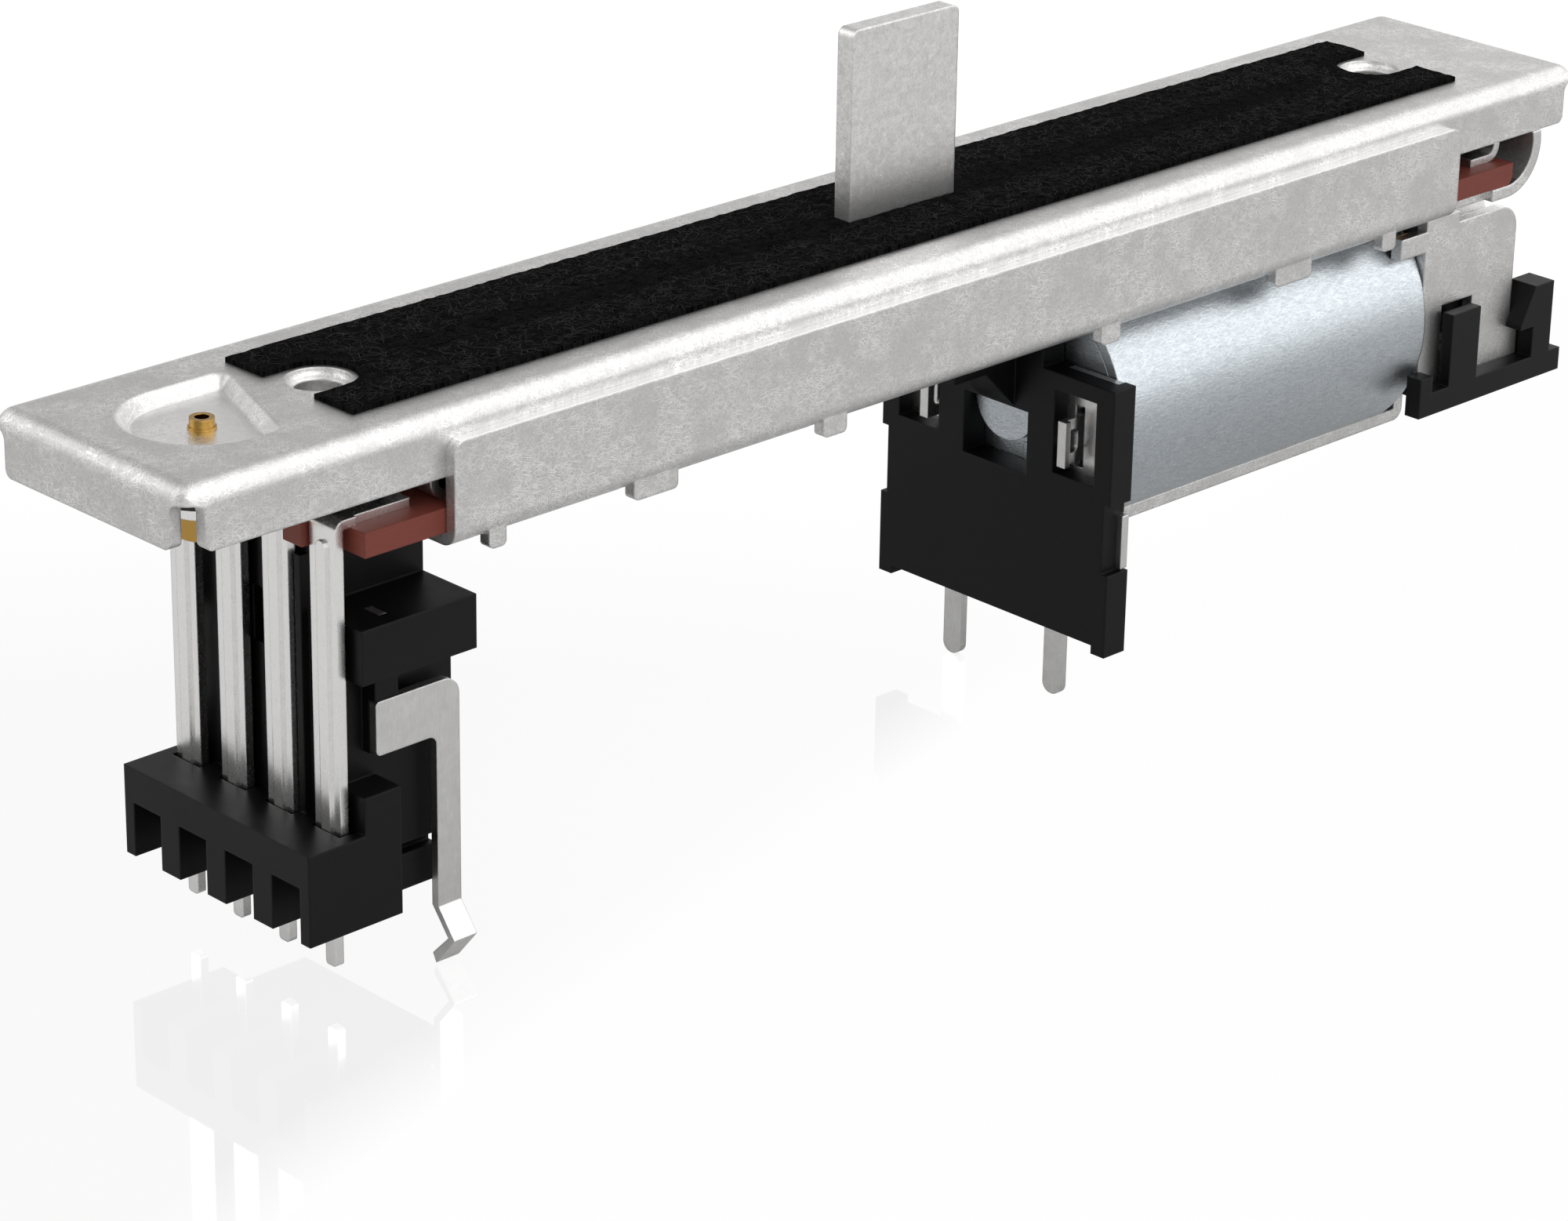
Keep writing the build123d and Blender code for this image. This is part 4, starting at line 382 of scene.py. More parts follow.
colour = add_node(
    tree,
    "ShaderNodeMix",
    {0: worn.outputs[0], 6: linear("#C3C2C1"), 7: linear("#F4F3F2")},
    data_type="RGBA",
)
face = add_node(tree, "ShaderNodeNewGeometry", {})
facing = add_node(tree, "ShaderNodeSeparateXYZ", {0: face.outputs["True Normal"]})
level = add_node(tree, "ShaderNodeSeparateXYZ", {0: place.outputs["Object"]})
nearly_level, under_face = 0.9, -0.0001
# Level faces that face up below the upper one: smoother, and painted paler as a painted sheen.
upward = add_node(
    tree, "ShaderNodeMath", {0: facing.outputs["Z"], 1: nearly_level}, operation="GREATER_THAN"
)
below = add_node(
    tree, "ShaderNodeMath", {0: level.outputs["Z"], 1: under_face}, operation="LESS_THAN"
)
pressed_faces_and_sheen = add_node(
    tree, "ShaderNodeMath", {0: upward.outputs[0], 1: below.outputs[0]}, operation="MULTIPLY"
)
rough = add_node(
    tree, "ShaderNodeMapRange", {"Value": worn.outputs[0], "To Min": 0.42, "To Max": 0.3}
)
smooth = add_node(
    tree,
    "ShaderNodeMix",
    {0: pressed_faces_and_sheen.outputs[0], 2: rough.outputs[0], 3: 0.16},
    data_type="FLOAT",
)
# Painted sheen: those faces take one paler, even colour in place of the marked one.
painted_upward_sheen = add_node(
    tree,
    "ShaderNodeMix",
    {0: pressed_faces_and_sheen.outputs[0], 6: colour.outputs[2], 7: linear("#F1F0EF")},
    data_type="RGBA",
)
edge = add_node(tree, "ShaderNodeBevel", {"Radius": 0.00016}, samples=4)
relief = add_node(
    tree,
    "ShaderNodeBump",
    {"Height": worn.outputs[0], "Strength": 0.4, "Distance": 0.00002, "Normal": edge.outputs[0]},
)
shader = add_node(
    tree,
    "ShaderNodeBsdfPrincipled",
    {
        "Base Color": painted_upward_sheen.outputs[2],
        "Metallic": 1.0,
        "Roughness": smooth.outputs[0],
        "Normal": relief.outputs[0],
    },
)
add_node(tree, "ShaderNodeOutputMaterial", {"Surface": shader.outputs[0]})


def finish_nodes(material, *names):
    """Gives a material to every slot of these pieces of the frame."""
    for name in names:
        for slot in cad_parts[name].material_slots:
            slot.material = material


finish_nodes(steel, "top_channel", "lower_channel", "motor_bracket")
finish_nodes(steel, "end_bracket_left", "end_bracket_right")

# Motor bracket's top: the bracket's own 0.75 mm sheet, folded level between the two side plates
# under the lower channel, with a round hole for the shaft's bushing. It closes the gap there.
bush_gap = 0.0002
hole_corners = 32
top_left, top_right, top_corner = 0.03952, 0.0444, 0.0009
top_half, top_level, top_sheet = 0.00672, -0.00804, 0.00075


def cut_sheet(name, outlines, thickness, placed):
    """A flat piece with these outlines, the later ones being holes, and small rounded edges."""
    edge_round = 0.00006
    outline = bpy.data.curves.new(name, "CURVE")
    outline.dimensions = "2D"
    outline.fill_mode = "BOTH"
    outline.extrude = thickness / 2 - edge_round
    outline.bevel_depth = edge_round
    outline.bevel_resolution = 1
    outline.offset = -edge_round
    for points in outlines:
        loop = outline.splines.new("POLY")
        loop.points.add(len(points) - 1)
        loop.use_cyclic_u = True
        for point, (x, y) in zip(loop.points, points):
            point.co = (x, y, 0, 1)
    piece = bpy.data.objects.new(name, outline)
    bpy.context.collection.objects.link(piece)
    bpy.ops.object.select_all(action="DESELECT")
    piece.select_set(True)
    bpy.context.view_layer.objects.active = piece
    piece.matrix_world = placed
    bpy.ops.object.convert(target="MESH")
    bpy.ops.object.transform_apply(location=True, rotation=True, scale=True)
    return bpy.context.object


bush_low, bush_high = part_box("shaft_bushing")
bush_x = (bush_low.x + bush_high.x) / 2
hole_radius = (bush_high.x - bush_low.x) / 2 + bush_gap
plate = [
    (top_left, -top_half),
    (top_right - top_corner, -top_half),
    (top_right, -top_half + top_corner),
    (top_right, top_half - top_corner),
    (top_right - top_corner, top_half),
    (top_left, top_half),
]
hole = []
for step in range(hole_corners):
    around = 2 * math.pi * step / hole_corners
    hole.append((bush_x + hole_radius * math.cos(around), hole_radius * math.sin(around)))
lying = Matrix.Translation((0, 0, top_level))
bracket_top = cut_sheet("bracket_top", [plate, hole], top_sheet, lying)
bracket_top.data.materials.append(steel)
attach(bracket_top, "frame")

# Dust felt: black needled felt 0.3 mm thick, punched out, slit down its middle and glued on the
# upper channel. Its lips lie together and open only round the lever, and loose fibres stand out
# of the nap in all directions. The hairs in its pattern are drawn coarser than felt's 0.02 mm.
felt, tree = new_material("black_needled_felt")
hair_length, hair_width, hair_angles = 0.0009, 0.00008, (12, 38, 71, 104, 139, 166)
hair_level, tufts_per_mm = 0.55, 1.6
place = add_node(tree, "ShaderNodeTexCoord", {})
hairs = scratches(
    tree, place.outputs["Object"], hair_length, hair_width, hair_angles, hair_level
)
tuft = add_node(
    tree,
    "ShaderNodeTexNoise",
    {
        "Vector": place.outputs["Object"],
        "Scale": 1000 * tufts_per_mm,
        "Detail": 5.0,
        "Roughness": 0.7,
    },
)
nap = add_node(
    tree, "ShaderNodeMath", {0: hairs, 1: tuft.outputs["Fac"]}, operation="MULTIPLY"
)
dye = add_node(
    tree,
    "ShaderNodeMix",
    {0: nap.outputs[0], 6: linear("#010101"), 7: linear("#242425")},
    data_type="RGBA",
)
relief = add_node(
    tree, "ShaderNodeBump", {"Height": nap.outputs[0], "Strength": 0.8, "Distance": 0.00006}
)
shader = add_node(
    tree,
    "ShaderNodeBsdfPrincipled",
    {
        "Base Color": dye.outputs[2],
        "Roughness": 0.95,
        "IOR": 1.06,
        "Normal": relief.outputs[0],
    },
)
add_node(tree, "ShaderNodeOutputMaterial", {"Surface": shader.outputs[0]})

fibre, tree = new_material("loose_felt_fibres")
shades_per_mm = 1.4
place = add_node(tree, "ShaderNodeTexCoord", {})
fade = add_node(
    tree,
    "ShaderNodeTexNoise",
    {"Vector": place.outputs["Object"], "Scale": 1000 * shades_per_mm, "Detail": 2.0},
)
dye = add_node(
    tree,
    "ShaderNodeMix",
    {0: fade.outputs["Fac"], 6: linear("#0F0F10"), 7: linear("#404042")},
    data_type="RGBA",
)
shader = add_node(
    tree,
    "ShaderNodeBsdfPrincipled",
    {"Base Color": dye.outputs[2], "Roughness": 0.8, "IOR": 1.2},
)
add_node(tree, "ShaderNodeOutputMaterial", {"Surface": shader.outputs[0]})

felt_low, felt_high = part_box("dust_felt")
_, lever_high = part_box("lever")
hole_x = 0.04  # half the pitch of the mounting holes
hole_notch = 0.002  # the radius of the notch round each
half_travel = 0.03
slit_spare, lever_gap = 0.0005, 0.00004
slit_end = lever_high.x + half_travel + slit_spare
slit_half = lever_high.y + lever_gap
nap_rise = 0.00003
grid = 0.00042


def felt_sheet(name, low_x, high_x, low_y, high_y):
    """A flat sheet at the height of the felt's top, between these limits and finely divided."""
    length, width = high_x - low_x, high_y - low_y
    bpy.ops.mesh.primitive_grid_add(
        x_subdivisions=max(1, round(length / grid)),
        y_subdivisions=max(2, round(width / grid)),
        size=1,
        location=((low_x + high_x) / 2, (low_y + high_y) / 2, felt_high.z - nap_rise),
    )
    sheet = bpy.context.object
    sheet.name = name
    sheet.scale = (length, width, 1)
    bpy.ops.object.transform_apply(location=True, rotation=False, scale=True)
    return sheet


def in_notch(x, y):
    """Whether a point lies in the notch round a mounting hole."""
    if abs(x) >= hole_x:
        return abs(y) < hole_notch
    return math.hypot(abs(x) - hole_x, y) < hole_notch


def thicken(sheet, rng):
    """Roughens the top of a felt sheet, and gives it its sides and underside."""
    mesh = sheet.data
    for vertex in mesh.vertices:
        vertex.co.z += rng.uniform(-1, 1) * nap_rise
    shape = bmesh.new()
    shape.from_mesh(mesh)
    side = bmesh.ops.extrude_face_region(shape, geom=list(shape.faces), use_keep_orig=True)
    for vertex in [g for g in side["geom"] if isinstance(g, bmesh.types.BMVert)]:
        vertex.co.z = felt_low.z
    bmesh.ops.recalc_face_normals(shape, faces=list(shape.faces))
    shape.to_mesh(mesh)
    shape.free()


rng = random.Random(41)
strip = felt_sheet("felt_strip", felt_low.x, felt_high.x, felt_low.y, felt_high.y)
shape = bmesh.new()
shape.from_mesh(strip.data)
gone = []
for face in shape.faces:
    middle = face.calc_center_median()
    in_slit = abs(middle.x) < slit_end and abs(middle.y) < slit_half
    if in_slit or in_notch(middle.x, middle.y):
        gone.append(face)
bmesh.ops.delete(shape, geom=gone, context="FACES")
for vertex in shape.verts:
    if not vertex.is_boundary:
        continue
    x, y = vertex.co.x, vertex.co.y
    if abs(x) < slit_end + grid and abs(y) < slit_half + grid:
        vertex.co.y = math.copysign(slit_half, y)
    elif abs(x) > hole_x - hole_notch - grid and abs(y) < hole_notch + grid:
        if abs(x) >= hole_x:
            vertex.co.y = math.copysign(hole_notch, y)
        else:
            away = Vector((abs(x) - hole_x, y)).normalized() * hole_notch
            vertex.co.x = math.copysign(hole_x + away.x, x)
            vertex.co.y = away.y
shape.to_mesh(strip.data)
shape.free()
thicken(strip, rng)

fibre_tries = 8000  # those that would stand over an edge, the slit or a hole are left out
fibre_width = 0.000022
fibre_short, fibre_long, fibre_bend = 0.0003, 0.0008, 0.7
fibre_steps = 3
lowest, arch = 0.6, 1.6  # a fibre's height in the nap, and its rise at the middle
shape = bmesh.new()
shape.from_mesh(strip.data)
for _ in range(fibre_tries):
    x = rng.uniform(felt_low.x, felt_high.x)
    y = rng.uniform(felt_low.y, felt_high.y)
    heading = rng.uniform(0, 2 * math.pi)
    length = rng.uniform(fibre_short, fibre_long)
    bend = rng.uniform(-fibre_bend, fibre_bend)
    reach = length + fibre_width
    near_slit = abs(y) < slit_half + reach and abs(x) < slit_end + reach
    near_edge = min(x - felt_low.x, felt_high.x - x, y - felt_low.y, felt_high.y - y) < reach / 2
    near_hole = abs(x) > hole_x - hole_notch - reach and abs(y) < hole_notch + reach
    if near_slit or near_edge or near_hole:
        continue
    rows = []
    for step in range(fibre_steps + 1):
        rise = nap_rise * (lowest + arch * math.sin(math.pi * step / fibre_steps) * rng.random())
        side = Vector((-math.sin(heading), math.cos(heading), 0)) * fibre_width / 2
        centre = Vector((x, y, felt_high.z + rise))
        rows.append((shape.verts.new(centre - side), shape.verts.new(centre + side)))
        x += math.cos(heading) * length / fibre_steps
        y += math.sin(heading) * length / fibre_steps
        heading += bend / fibre_steps
    for first, second in zip(rows, rows[1:]):
        hair = shape.faces.new((first[0], second[0], second[1], first[1]))
        hair.material_index = 1
strip.data.materials.append(felt)
strip.data.materials.append(fibre)
shape.to_mesh(strip.data)
shape.free()
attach(strip, "frame")
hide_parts("dust_felt")

lip_gap = 0.00003
opening, opening_curve = 0.0016, 1.6  # the way in which the lips close beside the lever
on_middle = 1e-7
for name, end in (("felt_lips_left", -1), ("felt_lips_right", 1)):
    near = end * lever_high.x
    far = end * slit_end
    lips = felt_sheet(name, min(near, far), max(near, far), -slit_half, slit_half)
    for vertex in lips.data.vertices:
        share = abs(vertex.co.y) / slit_half
        closeness = max(0.0, 1 - abs(vertex.co.x - near) / opening)
        parting = lip_gap + (slit_half - 2 * lip_gap) * closeness**opening_curve
        side = math.copysign(1, vertex.co.y) if abs(vertex.co.y) > on_middle else 0
        vertex.co.y = side * (parting + (slit_half - parting) * share) if side else 0
    shape = bmesh.new()
    shape.from_mesh(lips.data)
    middle_faces = [f for f in shape.faces if any(abs(v.co.y) < on_middle for v in f.verts)]
    bmesh.ops.delete(shape, geom=middle_faces, context="FACES")
    shape.to_mesh(lips.data)
    shape.free()
    thicken(lips, rng)
    lips.data.materials.append(felt)
    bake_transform(lips)

# Moulded pieces: terminal holder, motor plate and gear cover are injection moulded in glass
# filled black PBT. The skin is fine satin, and its moulded edges show as thin pale lines.
plastic, tree = new_material("moulded_black_pbt")
grains_per_mm, flows_per_mm = 9, 0.3
place = add_node(tree, "ShaderNodeTexCoord", {})
grain = add_node(
    tree,
    "ShaderNodeTexNoise",
    {
        "Vector": place.outputs["Object"],
        "Scale": 1000 * grains_per_mm,
        "Detail": 2.0,
        "Roughness": 0.5,
    },
)
flow = add_node(
    tree,
    "ShaderNodeTexNoise",
    {
        "Vector": place.outputs["Object"],
        "Scale": 1000 * flows_per_mm,
        "Detail": 3.0,
        "Roughness": 0.6,
    },
)
rough = add_node(
    tree,
    "ShaderNodeMapRange",
    {
        "Value": flow.outputs["Fac"],
        "From Min": 0.3,
        "From Max": 0.7,
        "To Min": 0.36,
        "To Max": 0.46,
    },
)
edge = add_node(tree, "ShaderNodeBevel", {"Radius": 0.00016}, samples=4)
relief = add_node(
    tree,
    "ShaderNodeBump",
    {
        "Height": grain.outputs["Fac"],
        "Strength": 0.12,
        "Distance": 0.00002,
        "Normal": edge.outputs[0],
    },
)
colour = add_node(
    tree,
    "ShaderNodeMix",
    {0: flow.outputs["Fac"], 6: linear("#070708"), 7: linear("#0B0B0C")},
    data_type="RGBA",
)
shader = add_node(
    tree,
    "ShaderNodeBsdfPrincipled",
    {
        "Base Color": colour.outputs[2],
        "Roughness": rough.outputs[0],
        "Specular IOR Level": 0.18,
        "Normal": relief.outputs[0],
    },
)
add_node(tree, "ShaderNodeOutputMaterial", {"Surface": shader.outputs[0]})
finish_nodes(plastic, "terminal_holder", "motor_plate", "gear_cover")

# Gear cover's windows: two thin walls of the same black moulding stand behind the windows of the
# side plates, so that through each window only their black shows, not the room beyond.
window_back_left, window_back_right, window_back_y, window_back_thickness = 0.0394, 0.0442, 0.0064, 0.0004
window_back_foot, window_back_top, window_back_corner = -0.01734, -0.01215, 0.0005
window_back_round = window_back_corner * 0.3  # how far the corner's middle point stands in from each side
wall = [
    (window_back_left, window_back_foot),
    (window_back_right, window_back_foot),
    (window_back_right, window_back_top - window_back_corner),
    (window_back_right - window_back_round, window_back_top - window_back_round),
    (window_back_right - window_back_corner, window_back_top),
    (window_back_left + window_back_corner, window_back_top),
    (window_back_left + window_back_round, window_back_top - window_back_round),
    (window_back_left, window_back_top - window_back_corner),
]
for name, y in (("gear_window_back_front", -window_back_y), ("gear_window_back_rear", window_back_y)):
    standing = Matrix.Translation((0, y, 0)) @ Matrix.Rotation(math.pi / 2, 4, "X")
    window_back = cut_sheet(name, [wall], window_back_thickness, standing)
    window_back.data.materials.append(plastic)
    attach(window_back, "frame")

# Resistor board: red-brown phenolic paper, punched to shape. Its faces are smooth and its cut
# edges a little drier, with the layers of paper just showing.
phenolic, tree = new_material("punched_phenolic_paper")
grains_per_mm, layers_per_grain = 0.9, 12.0
place = add_node(tree, "ShaderNodeTexCoord", {})
layers = add_node(
    tree,
    "ShaderNodeMapping",
    {"Vector": place.outputs["Object"], "Scale": (1.0, 1.0, layers_per_grain)},
)
grain = add_node(
    tree,
    "ShaderNodeTexNoise",
    {
        "Vector": layers.outputs[0],
        "Scale": 1000 * grains_per_mm,
        "Detail": 4.0,
        "Roughness": 0.6,
    },
)
colour = add_node(
    tree,
    "ShaderNodeMix",
    {0: grain.outputs["Fac"], 6: linear("#70362C"), 7: linear("#854338")},
    data_type="RGBA",
)
edge = add_node(tree, "ShaderNodeBevel", {"Radius": 0.0001}, samples=4)
relief = add_node(
    tree,
    "ShaderNodeBump",
    {
        "Height": grain.outputs["Fac"],
        "Strength": 0.15,
        "Distance": 0.00002,
        "Normal": edge.outputs[0],
    },
)
shader = add_node(
    tree,
    "ShaderNodeBsdfPrincipled",
    {
        "Base Color": colour.outputs[2],
        "Roughness": 0.5,
        "Specular IOR Level": 0.28,
        "Normal": relief.outputs[0],
    },
)
add_node(tree, "ShaderNodeOutputMaterial", {"Surface": shader.outputs[0]})
finish_nodes(phenolic, "resistor_board", "brush_holder")

# Resistor tracks: carbon ink, screen printed on the board. The wipers polish it in long streaks
# along the travel, so that it is smoother in some lines than in others.
ink, tree = new_material("carbon_resistor_ink")
streaks_per_mm, streak_share = 8, 0.02
place = add_node(tree, "ShaderNodeTexCoord", {})
wipe = add_node(
    tree,
    "ShaderNodeMapping",
    {"Vector": place.outputs["Object"], "Scale": (streak_share, 1.0, 1.0)},
)
streak = add_node(
    tree,
    "ShaderNodeTexNoise",
    {"Vector": wipe.outputs[0], "Scale": 1000 * streaks_per_mm, "Detail": 2.0},
)
rough = add_node(
    tree, "ShaderNodeMapRange", {"Value": streak.outputs["Fac"], "To Min": 0.35, "To Max": 0.6}
)
shader = add_node(
    tree,
    "ShaderNodeBsdfPrincipled",
    {"Base Color": linear("#1A1A1C"), "Roughness": rough.outputs[0]},
)
add_node(tree, "ShaderNodeOutputMaterial", {"Surface": shader.outputs[0]})
finish_nodes(ink, "carbon_tracks")

# Terminals: brass strip, stamped, ribbed and dipped in tin. Contact strips, motor tabs and ground
# strip take a second copy of the same tin, painted darker and a little rougher, as painted shade,
# and the terminals' copy is painted paler, as painted highlight. Tin is pale grey and almost
# smooth, with faint marks along the strip, which are drawn coarser than the real ones so that they
# show.
mark_length, mark_width, mark_angles = 0.0016, 0.00007, (84, 90, 97)
mark_level, mark_share = 0.6, 0.2
specks_per_mm = 1.5
polished = 0.1  # how much smoother the pale places are
# Two copies of one tin: the terminals' painted paler, as painted highlight, the strips' darker, as
# painted shade.
for name, dark, pale, roughest, pieces in (
    (
        "tin_painted_paler",
        "#EDECEB",
        "#F9F8F7",
        0.31,
        ("terminal_1", "terminal_2", "terminal_3", "terminal_4", "idler_washer"),
    ),
    (
        "tin_painted_darker",
        "#CBCAC9",
        "#E9E8E7",
        0.34,
        ("ground_strip", "motor_contact_front", "motor_contact_rear", "motor_tabs"),
    ),
):
    tin, tree = new_material(name)
    marks = scratches(tree, face_place(tree), mark_length, mark_width, mark_angles, mark_level)
    place = add_node(tree, "ShaderNodeTexCoord", {})
    cloud = add_node(
        tree,
        "ShaderNodeTexNoise",
        {
            "Vector": place.outputs["Object"],
            "Scale": 1000 * specks_per_mm,
            "Detail": 4.0,
            "Roughness": 0.65,
        },
    )
    patch = add_node(
        tree,
        "ShaderNodeMapRange",
        {
            "Value": cloud.outputs["Fac"],
            "From Min": 0.3,
            "From Max": 0.7,
            "To Min": 0.2,
            "To Max": 0.6,
        },
    )
    worn = add_node(
        tree,
        "ShaderNodeMath",
        {0: marks, 1: mark_share, 2: patch.outputs[0]},
        operation="MULTIPLY_ADD",
        use_clamp=True,
    )
    colour = add_node(
        tree,
        "ShaderNodeMix",
        {0: worn.outputs[0], 6: linear(dark), 7: linear(pale)},
        data_type="RGBA",
    )
    rough = add_node(
        tree,
        "ShaderNodeMapRange",
        {"Value": worn.outputs[0], "To Min": roughest, "To Max": roughest - polished},
    )
    edge = add_node(tree, "ShaderNodeBevel", {"Radius": 0.0001}, samples=4)
    relief = add_node(
        tree,
        "ShaderNodeBump",
        {
            "Height": worn.outputs[0],
            "Strength": 0.06,
            "Distance": 0.00002,
            "Normal": edge.outputs[0],
        },
    )
    shader = add_node(
        tree,
        "ShaderNodeBsdfPrincipled",
        {
            "Base Color": colour.outputs[2],
            "Metallic": 1.0,
            "Roughness": rough.outputs[0],
            "Normal": relief.outputs[0],
        },
    )
    add_node(tree, "ShaderNodeOutputMaterial", {"Surface": shader.outputs[0]})
    finish_nodes(tin, *pieces)

# Lever: nickel plated steel blade, stamped and tumbled, so its faces are softly mottled. The marks
# of tumbling are drawn 0.08 mm wide, coarser than the real ones, so that they show.
nickel, tree = new_material("tumbled_nickel_plate")
mark_length, mark_width, mark_angles = 0.0007, 0.00008, (5, 49, 90, 133)
mark_level, mark_share = 0.57, 0.3
mottles_per_mm = 2.6
marks = scratches(tree, face_place(tree), mark_length, mark_width, mark_angles, mark_level)
place = add_node(tree, "ShaderNodeTexCoord", {})
mottle = add_node(
    tree,
    "ShaderNodeTexNoise",
    {
        "Vector": place.outputs["Object"],
        "Scale": 1000 * mottles_per_mm,
        "Detail": 8.0,
        "Roughness": 0.85,
    },
)
share = add_node(
    tree,
    "ShaderNodeMapRange",
    {"Value": mottle.outputs["Fac"], "From Min": 0.4, "From Max": 0.66, "To Max": 0.8},
)
worn = add_node(
    tree,
    "ShaderNodeMath",
    {0: marks, 1: mark_share, 2: share.outputs[0]},
    operation="MULTIPLY_ADD",
    use_clamp=True,
)
colour = add_node(
    tree,
    "ShaderNodeMix",
    {0: worn.outputs[0], 6: linear("#CAC9C7"), 7: linear("#F6F5F4")},
    data_type="RGBA",
)
rough = add_node(
    tree, "ShaderNodeMapRange", {"Value": worn.outputs[0], "To Min": 0.38, "To Max": 0.26}
)
edge = add_node(tree, "ShaderNodeBevel", {"Radius": 0.00015}, samples=4)
relief = add_node(
    tree,
    "ShaderNodeBump",
    {"Height": worn.outputs[0], "Strength": 0.2, "Distance": 0.00003, "Normal": edge.outputs[0]},
)
shader = add_node(
    tree,
    "ShaderNodeBsdfPrincipled",
    {
        "Base Color": colour.outputs[2],
        "Metallic": 1.0,
        "Roughness": rough.outputs[0],
        "Normal": relief.outputs[0],
    },
)
add_node(tree, "ShaderNodeOutputMaterial", {"Surface": shader.outputs[0]})
finish_nodes(nickel, "lever")

# Rods, shafts and screws: drawn steel, ground bright on a centreless grinder. Its turning marks,
# hair-fine and round the rods' axis, make it rough in some lines and smooth in others.
ground, tree = new_material("ground_bright_steel")
lines_per_mm, line_share = 9, 0.05
place = add_node(tree, "ShaderNodeTexCoord", {})
lathe = add_node(
    tree,
    "ShaderNodeMapping",
    {"Vector": place.outputs["Object"], "Scale": (1.0, line_share, line_share)},
)
line = add_node(
    tree,
    "ShaderNodeTexNoise",
    {"Vector": lathe.outputs[0], "Scale": 1000 * lines_per_mm, "Detail": 2.0},
)
rough = add_node(
    tree, "ShaderNodeMapRange", {"Value": line.outputs["Fac"], "To Min": 0.14, "To Max": 0.3}
)
shader = add_node(
    tree,
    "ShaderNodeBsdfPrincipled",
    {"Base Color": linear("#D3D3D5"), "Metallic": 1.0, "Roughness": rough.outputs[0]},
)
add_node(tree, "ShaderNodeOutputMaterial", {"Surface": shader.outputs[0]})
finish_nodes(ground, "guide_rod_front", "guide_rod_rear", "drive_shaft")
finish_nodes(ground, "motor_shaft", "motor_screws")

# Motor can and end plate: deep drawn steel, plated blue-grey and satin, with short marks along the
# can, drawn 0.09 mm wide so that they show. A highlight on it breaks up at its border.
can, tree = new_material("satin_plated_motor_can")
mark_length, mark_width, mark_angles = 0.0011, 0.00009, (2, 172, 20, 158)
mark_level, mark_share = 0.55, 0.35
specks_per_mm = 5
marks = scratches(tree, face_place(tree), mark_length, mark_width, mark_angles, mark_level)
place = add_node(tree, "ShaderNodeTexCoord", {})
cloud = add_node(
    tree,
    "ShaderNodeTexNoise",
    {
        "Vector": place.outputs["Object"],
        "Scale": 1000 * specks_per_mm,
        "Detail": 5.0,
        "Roughness": 0.8,
    },
)
patch = add_node(
    tree,
    "ShaderNodeMapRange",
    {"Value": cloud.outputs["Fac"], "From Min": 0.35, "From Max": 0.7, "To Max": 0.6},
)
worn = add_node(
    tree,
    "ShaderNodeMath",
    {0: marks, 1: mark_share, 2: patch.outputs[0]},
    operation="MULTIPLY_ADD",
    use_clamp=True,
)
colour = add_node(
    tree,
    "ShaderNodeMix",
    {0: worn.outputs[0], 6: linear("#A7ADB2"), 7: linear("#CFD5D9")},
    data_type="RGBA",
)
rough = add_node(
    tree, "ShaderNodeMapRange", {"Value": worn.outputs[0], "To Min": 0.34, "To Max": 0.24}
)
edge = add_node(tree, "ShaderNodeBevel", {"Radius": 0.0001}, samples=4)
relief = add_node(
    tree,
    "ShaderNodeBump",
    {"Height": worn.outputs[0], "Strength": 0.45, "Distance": 0.00002, "Normal": edge.outputs[0]},
)
shader = add_node(
    tree,
    "ShaderNodeBsdfPrincipled",
    {
        "Base Color": colour.outputs[2],
        "Metallic": 1.0,
        "Roughness": rough.outputs[0],
        "Normal": relief.outputs[0],
    },
)
add_node(tree, "ShaderNodeOutputMaterial", {"Surface": shader.outputs[0]})
finish_nodes(can, "motor_can", "motor_end_plate")

# Brass pieces: turned axle, bushing and pinion. The tool leaves them bright, and rougher in some
# places than in others.
brass, tree = new_material("turned_brass")
tool_marks_per_mm = 6
place = add_node(tree, "ShaderNodeTexCoord", {})
tool = add_node(
    tree,
    "ShaderNodeTexNoise",
    {"Vector": place.outputs["Object"], "Scale": 1000 * tool_marks_per_mm, "Detail": 2.0},
)
rough = add_node(
    tree, "ShaderNodeMapRange", {"Value": tool.outputs["Fac"], "To Min": 0.12, "To Max": 0.26}
)
edge = add_node(tree, "ShaderNodeBevel", {"Radius": 0.00005}, samples=4)
shader = add_node(
    tree,
    "ShaderNodeBsdfPrincipled",
    {
        "Base Color": linear("#B8924E"),
        "Metallic": 1.0,
        "Roughness": rough.outputs[0],
        "Normal": edge.outputs[0],
    },
)
add_node(tree, "ShaderNodeOutputMaterial", {"Surface": shader.outputs[0]})
finish_nodes(brass, "idler_axle", "shaft_bushing", "motor_pinion")

# Wipers: phosphor bronze spring strip, warmer than brass and rolled smooth. The motor's bearings
# are sintered bronze of the same colour.
bronze, tree = new_material("phosphor_bronze")
grains_per_mm = 5
place = add_node(tree, "ShaderNodeTexCoord", {})
grain = add_node(
    tree,
    "ShaderNodeTexNoise",
    {"Vector": place.outputs["Object"], "Scale": 1000 * grains_per_mm, "Detail": 3.0},
)
rough = add_node(
    tree, "ShaderNodeMapRange", {"Value": grain.outputs["Fac"], "To Min": 0.25, "To Max": 0.45}
)
shader = add_node(
    tree,
    "ShaderNodeBsdfPrincipled",
    {"Base Color": linear("#C69263"), "Metallic": 1.0, "Roughness": rough.outputs[0]},
)
add_node(tree, "ShaderNodeOutputMaterial", {"Surface": shader.outputs[0]})
finish_nodes(bronze, "wiper_front", "wiper_rear", "motor_bearing_rear", "motor_bearing_front")

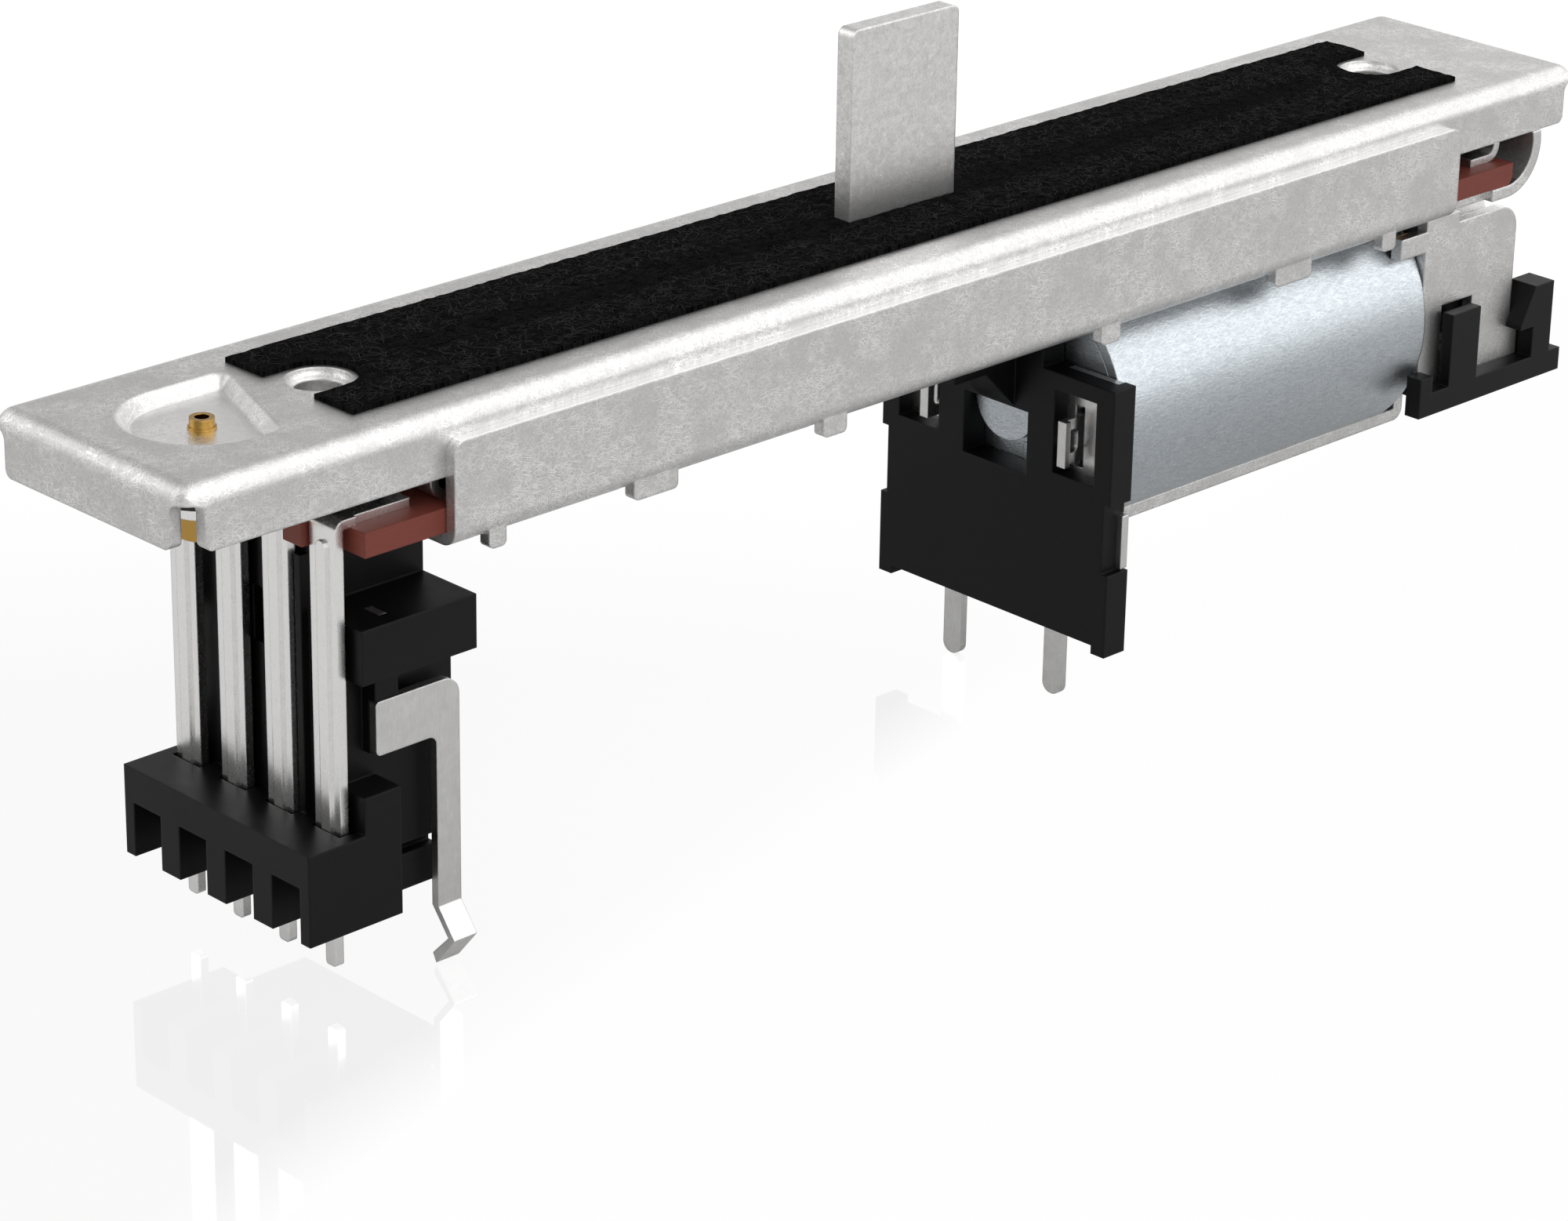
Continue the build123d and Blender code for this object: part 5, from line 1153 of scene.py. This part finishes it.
# Carriage, pulleys and crown wheel: white acetal, injection moulded. It looks waxy and slightly
# warm, with edges rounded by the mould.
acetal, tree = new_material("white_acetal")
clouds_per_mm = 2.5
place = add_node(tree, "ShaderNodeTexCoord", {})
skin = add_node(
    tree,
    "ShaderNodeTexNoise",
    {"Vector": place.outputs["Object"], "Scale": 1000 * clouds_per_mm, "Detail": 3.0},
)
colour = add_node(
    tree,
    "ShaderNodeMix",
    {0: skin.outputs["Fac"], 6: linear("#CFCCC3"), 7: linear("#DEDBD3")},
    data_type="RGBA",
)
edge = add_node(tree, "ShaderNodeBevel", {"Radius": 0.0001}, samples=4)
shader = add_node(
    tree,
    "ShaderNodeBsdfPrincipled",
    {"Base Color": colour.outputs[2], "Roughness": 0.42, "Normal": edge.outputs[0]},
)
add_node(tree, "ShaderNodeOutputMaterial", {"Surface": shader.outputs[0]})
finish_nodes(acetal, "carriage", "belt_clamp", "idler_pulley", "drive_pulley", "crown_gear")

# Drive belt: black polyurethane, moulded with its teeth in one piece, dull and faintly mottled. It
# runs round the two pulleys.
rubber, tree = new_material("black_polyurethane_belt")
mottles_per_mm = 4
place = add_node(tree, "ShaderNodeTexCoord", {})
skin = add_node(
    tree,
    "ShaderNodeTexNoise",
    {"Vector": place.outputs["Object"], "Scale": 1000 * mottles_per_mm, "Detail": 3.0},
)
colour = add_node(
    tree,
    "ShaderNodeMix",
    {0: skin.outputs["Fac"], 6: linear("#131313"), 7: linear("#222222")},
    data_type="RGBA",
)
shader = add_node(
    tree, "ShaderNodeBsdfPrincipled", {"Base Color": colour.outputs[2], "Roughness": 0.62}
)
add_node(tree, "ShaderNodeOutputMaterial", {"Surface": shader.outputs[0]})
finish_nodes(rubber, "drive_belt")

# Magnets and brushes: ferrite and carbon, pressed from powder and sintered, charcoal grey and matt
# with a fine grit.
ferrite, tree = new_material("pressed_ferrite")
grits_per_mm = 7
place = add_node(tree, "ShaderNodeTexCoord", {})
grit = add_node(
    tree,
    "ShaderNodeTexNoise",
    {"Vector": place.outputs["Object"], "Scale": 1000 * grits_per_mm, "Detail": 4.0},
)
colour = add_node(
    tree,
    "ShaderNodeMix",
    {0: grit.outputs["Fac"], 6: linear("#242426"), 7: linear("#3A3A3D")},
    data_type="RGBA",
)
shader = add_node(
    tree, "ShaderNodeBsdfPrincipled", {"Base Color": colour.outputs[2], "Roughness": 0.7}
)
add_node(tree, "ShaderNodeOutputMaterial", {"Surface": shader.outputs[0]})
finish_nodes(ferrite, "motor_magnets", "brushes")

# Armature core: stacked electrical steel sheets, 0.35 mm each, whose edges show as fine bands. A
# wave is 0.314 m long over its scale, here 0.7 mm or two sheets.
stack, tree = new_material("stacked_electrical_steel")
sheet_waves = 450.0
place = add_node(tree, "ShaderNodeTexCoord", {})
sheets = add_node(
    tree,
    "ShaderNodeTexWave",
    {"Vector": place.outputs["Object"], "Scale": sheet_waves, "Distortion": 0.0},
    bands_direction="X",
)
colour = add_node(
    tree,
    "ShaderNodeMix",
    {0: sheets.outputs["Fac"], 6: linear("#55575A"), 7: linear("#8C8E91")},
    data_type="RGBA",
)
shader = add_node(
    tree,
    "ShaderNodeBsdfPrincipled",
    {"Base Color": colour.outputs[2], "Metallic": 1.0, "Roughness": 0.45},
)
add_node(tree, "ShaderNodeOutputMaterial", {"Surface": shader.outputs[0]})
finish_nodes(stack, "armature_core")

# Windings and commutator: enamelled copper wire 0.2 mm thick and drawn copper bars. A wave, 0.39 mm
# long at this scale, is two wires.
copper, tree = new_material("enamelled_copper")
wire_waves = 800.0
place = add_node(tree, "ShaderNodeTexCoord", {})
wires = add_node(
    tree,
    "ShaderNodeTexWave",
    {"Vector": place.outputs["Object"], "Scale": wire_waves, "Distortion": 0.6},
    bands_direction="Z",
)
colour = add_node(
    tree,
    "ShaderNodeMix",
    {0: wires.outputs["Fac"], 6: linear("#7E3F20"), 7: linear("#C9794B")},
    data_type="RGBA",
)
shader = add_node(
    tree,
    "ShaderNodeBsdfPrincipled",
    {"Base Color": colour.outputs[2], "Metallic": 1.0, "Roughness": 0.35},
)
add_node(tree, "ShaderNodeOutputMaterial", {"Surface": shader.outputs[0]})
finish_nodes(copper, "armature_windings", "commutator")
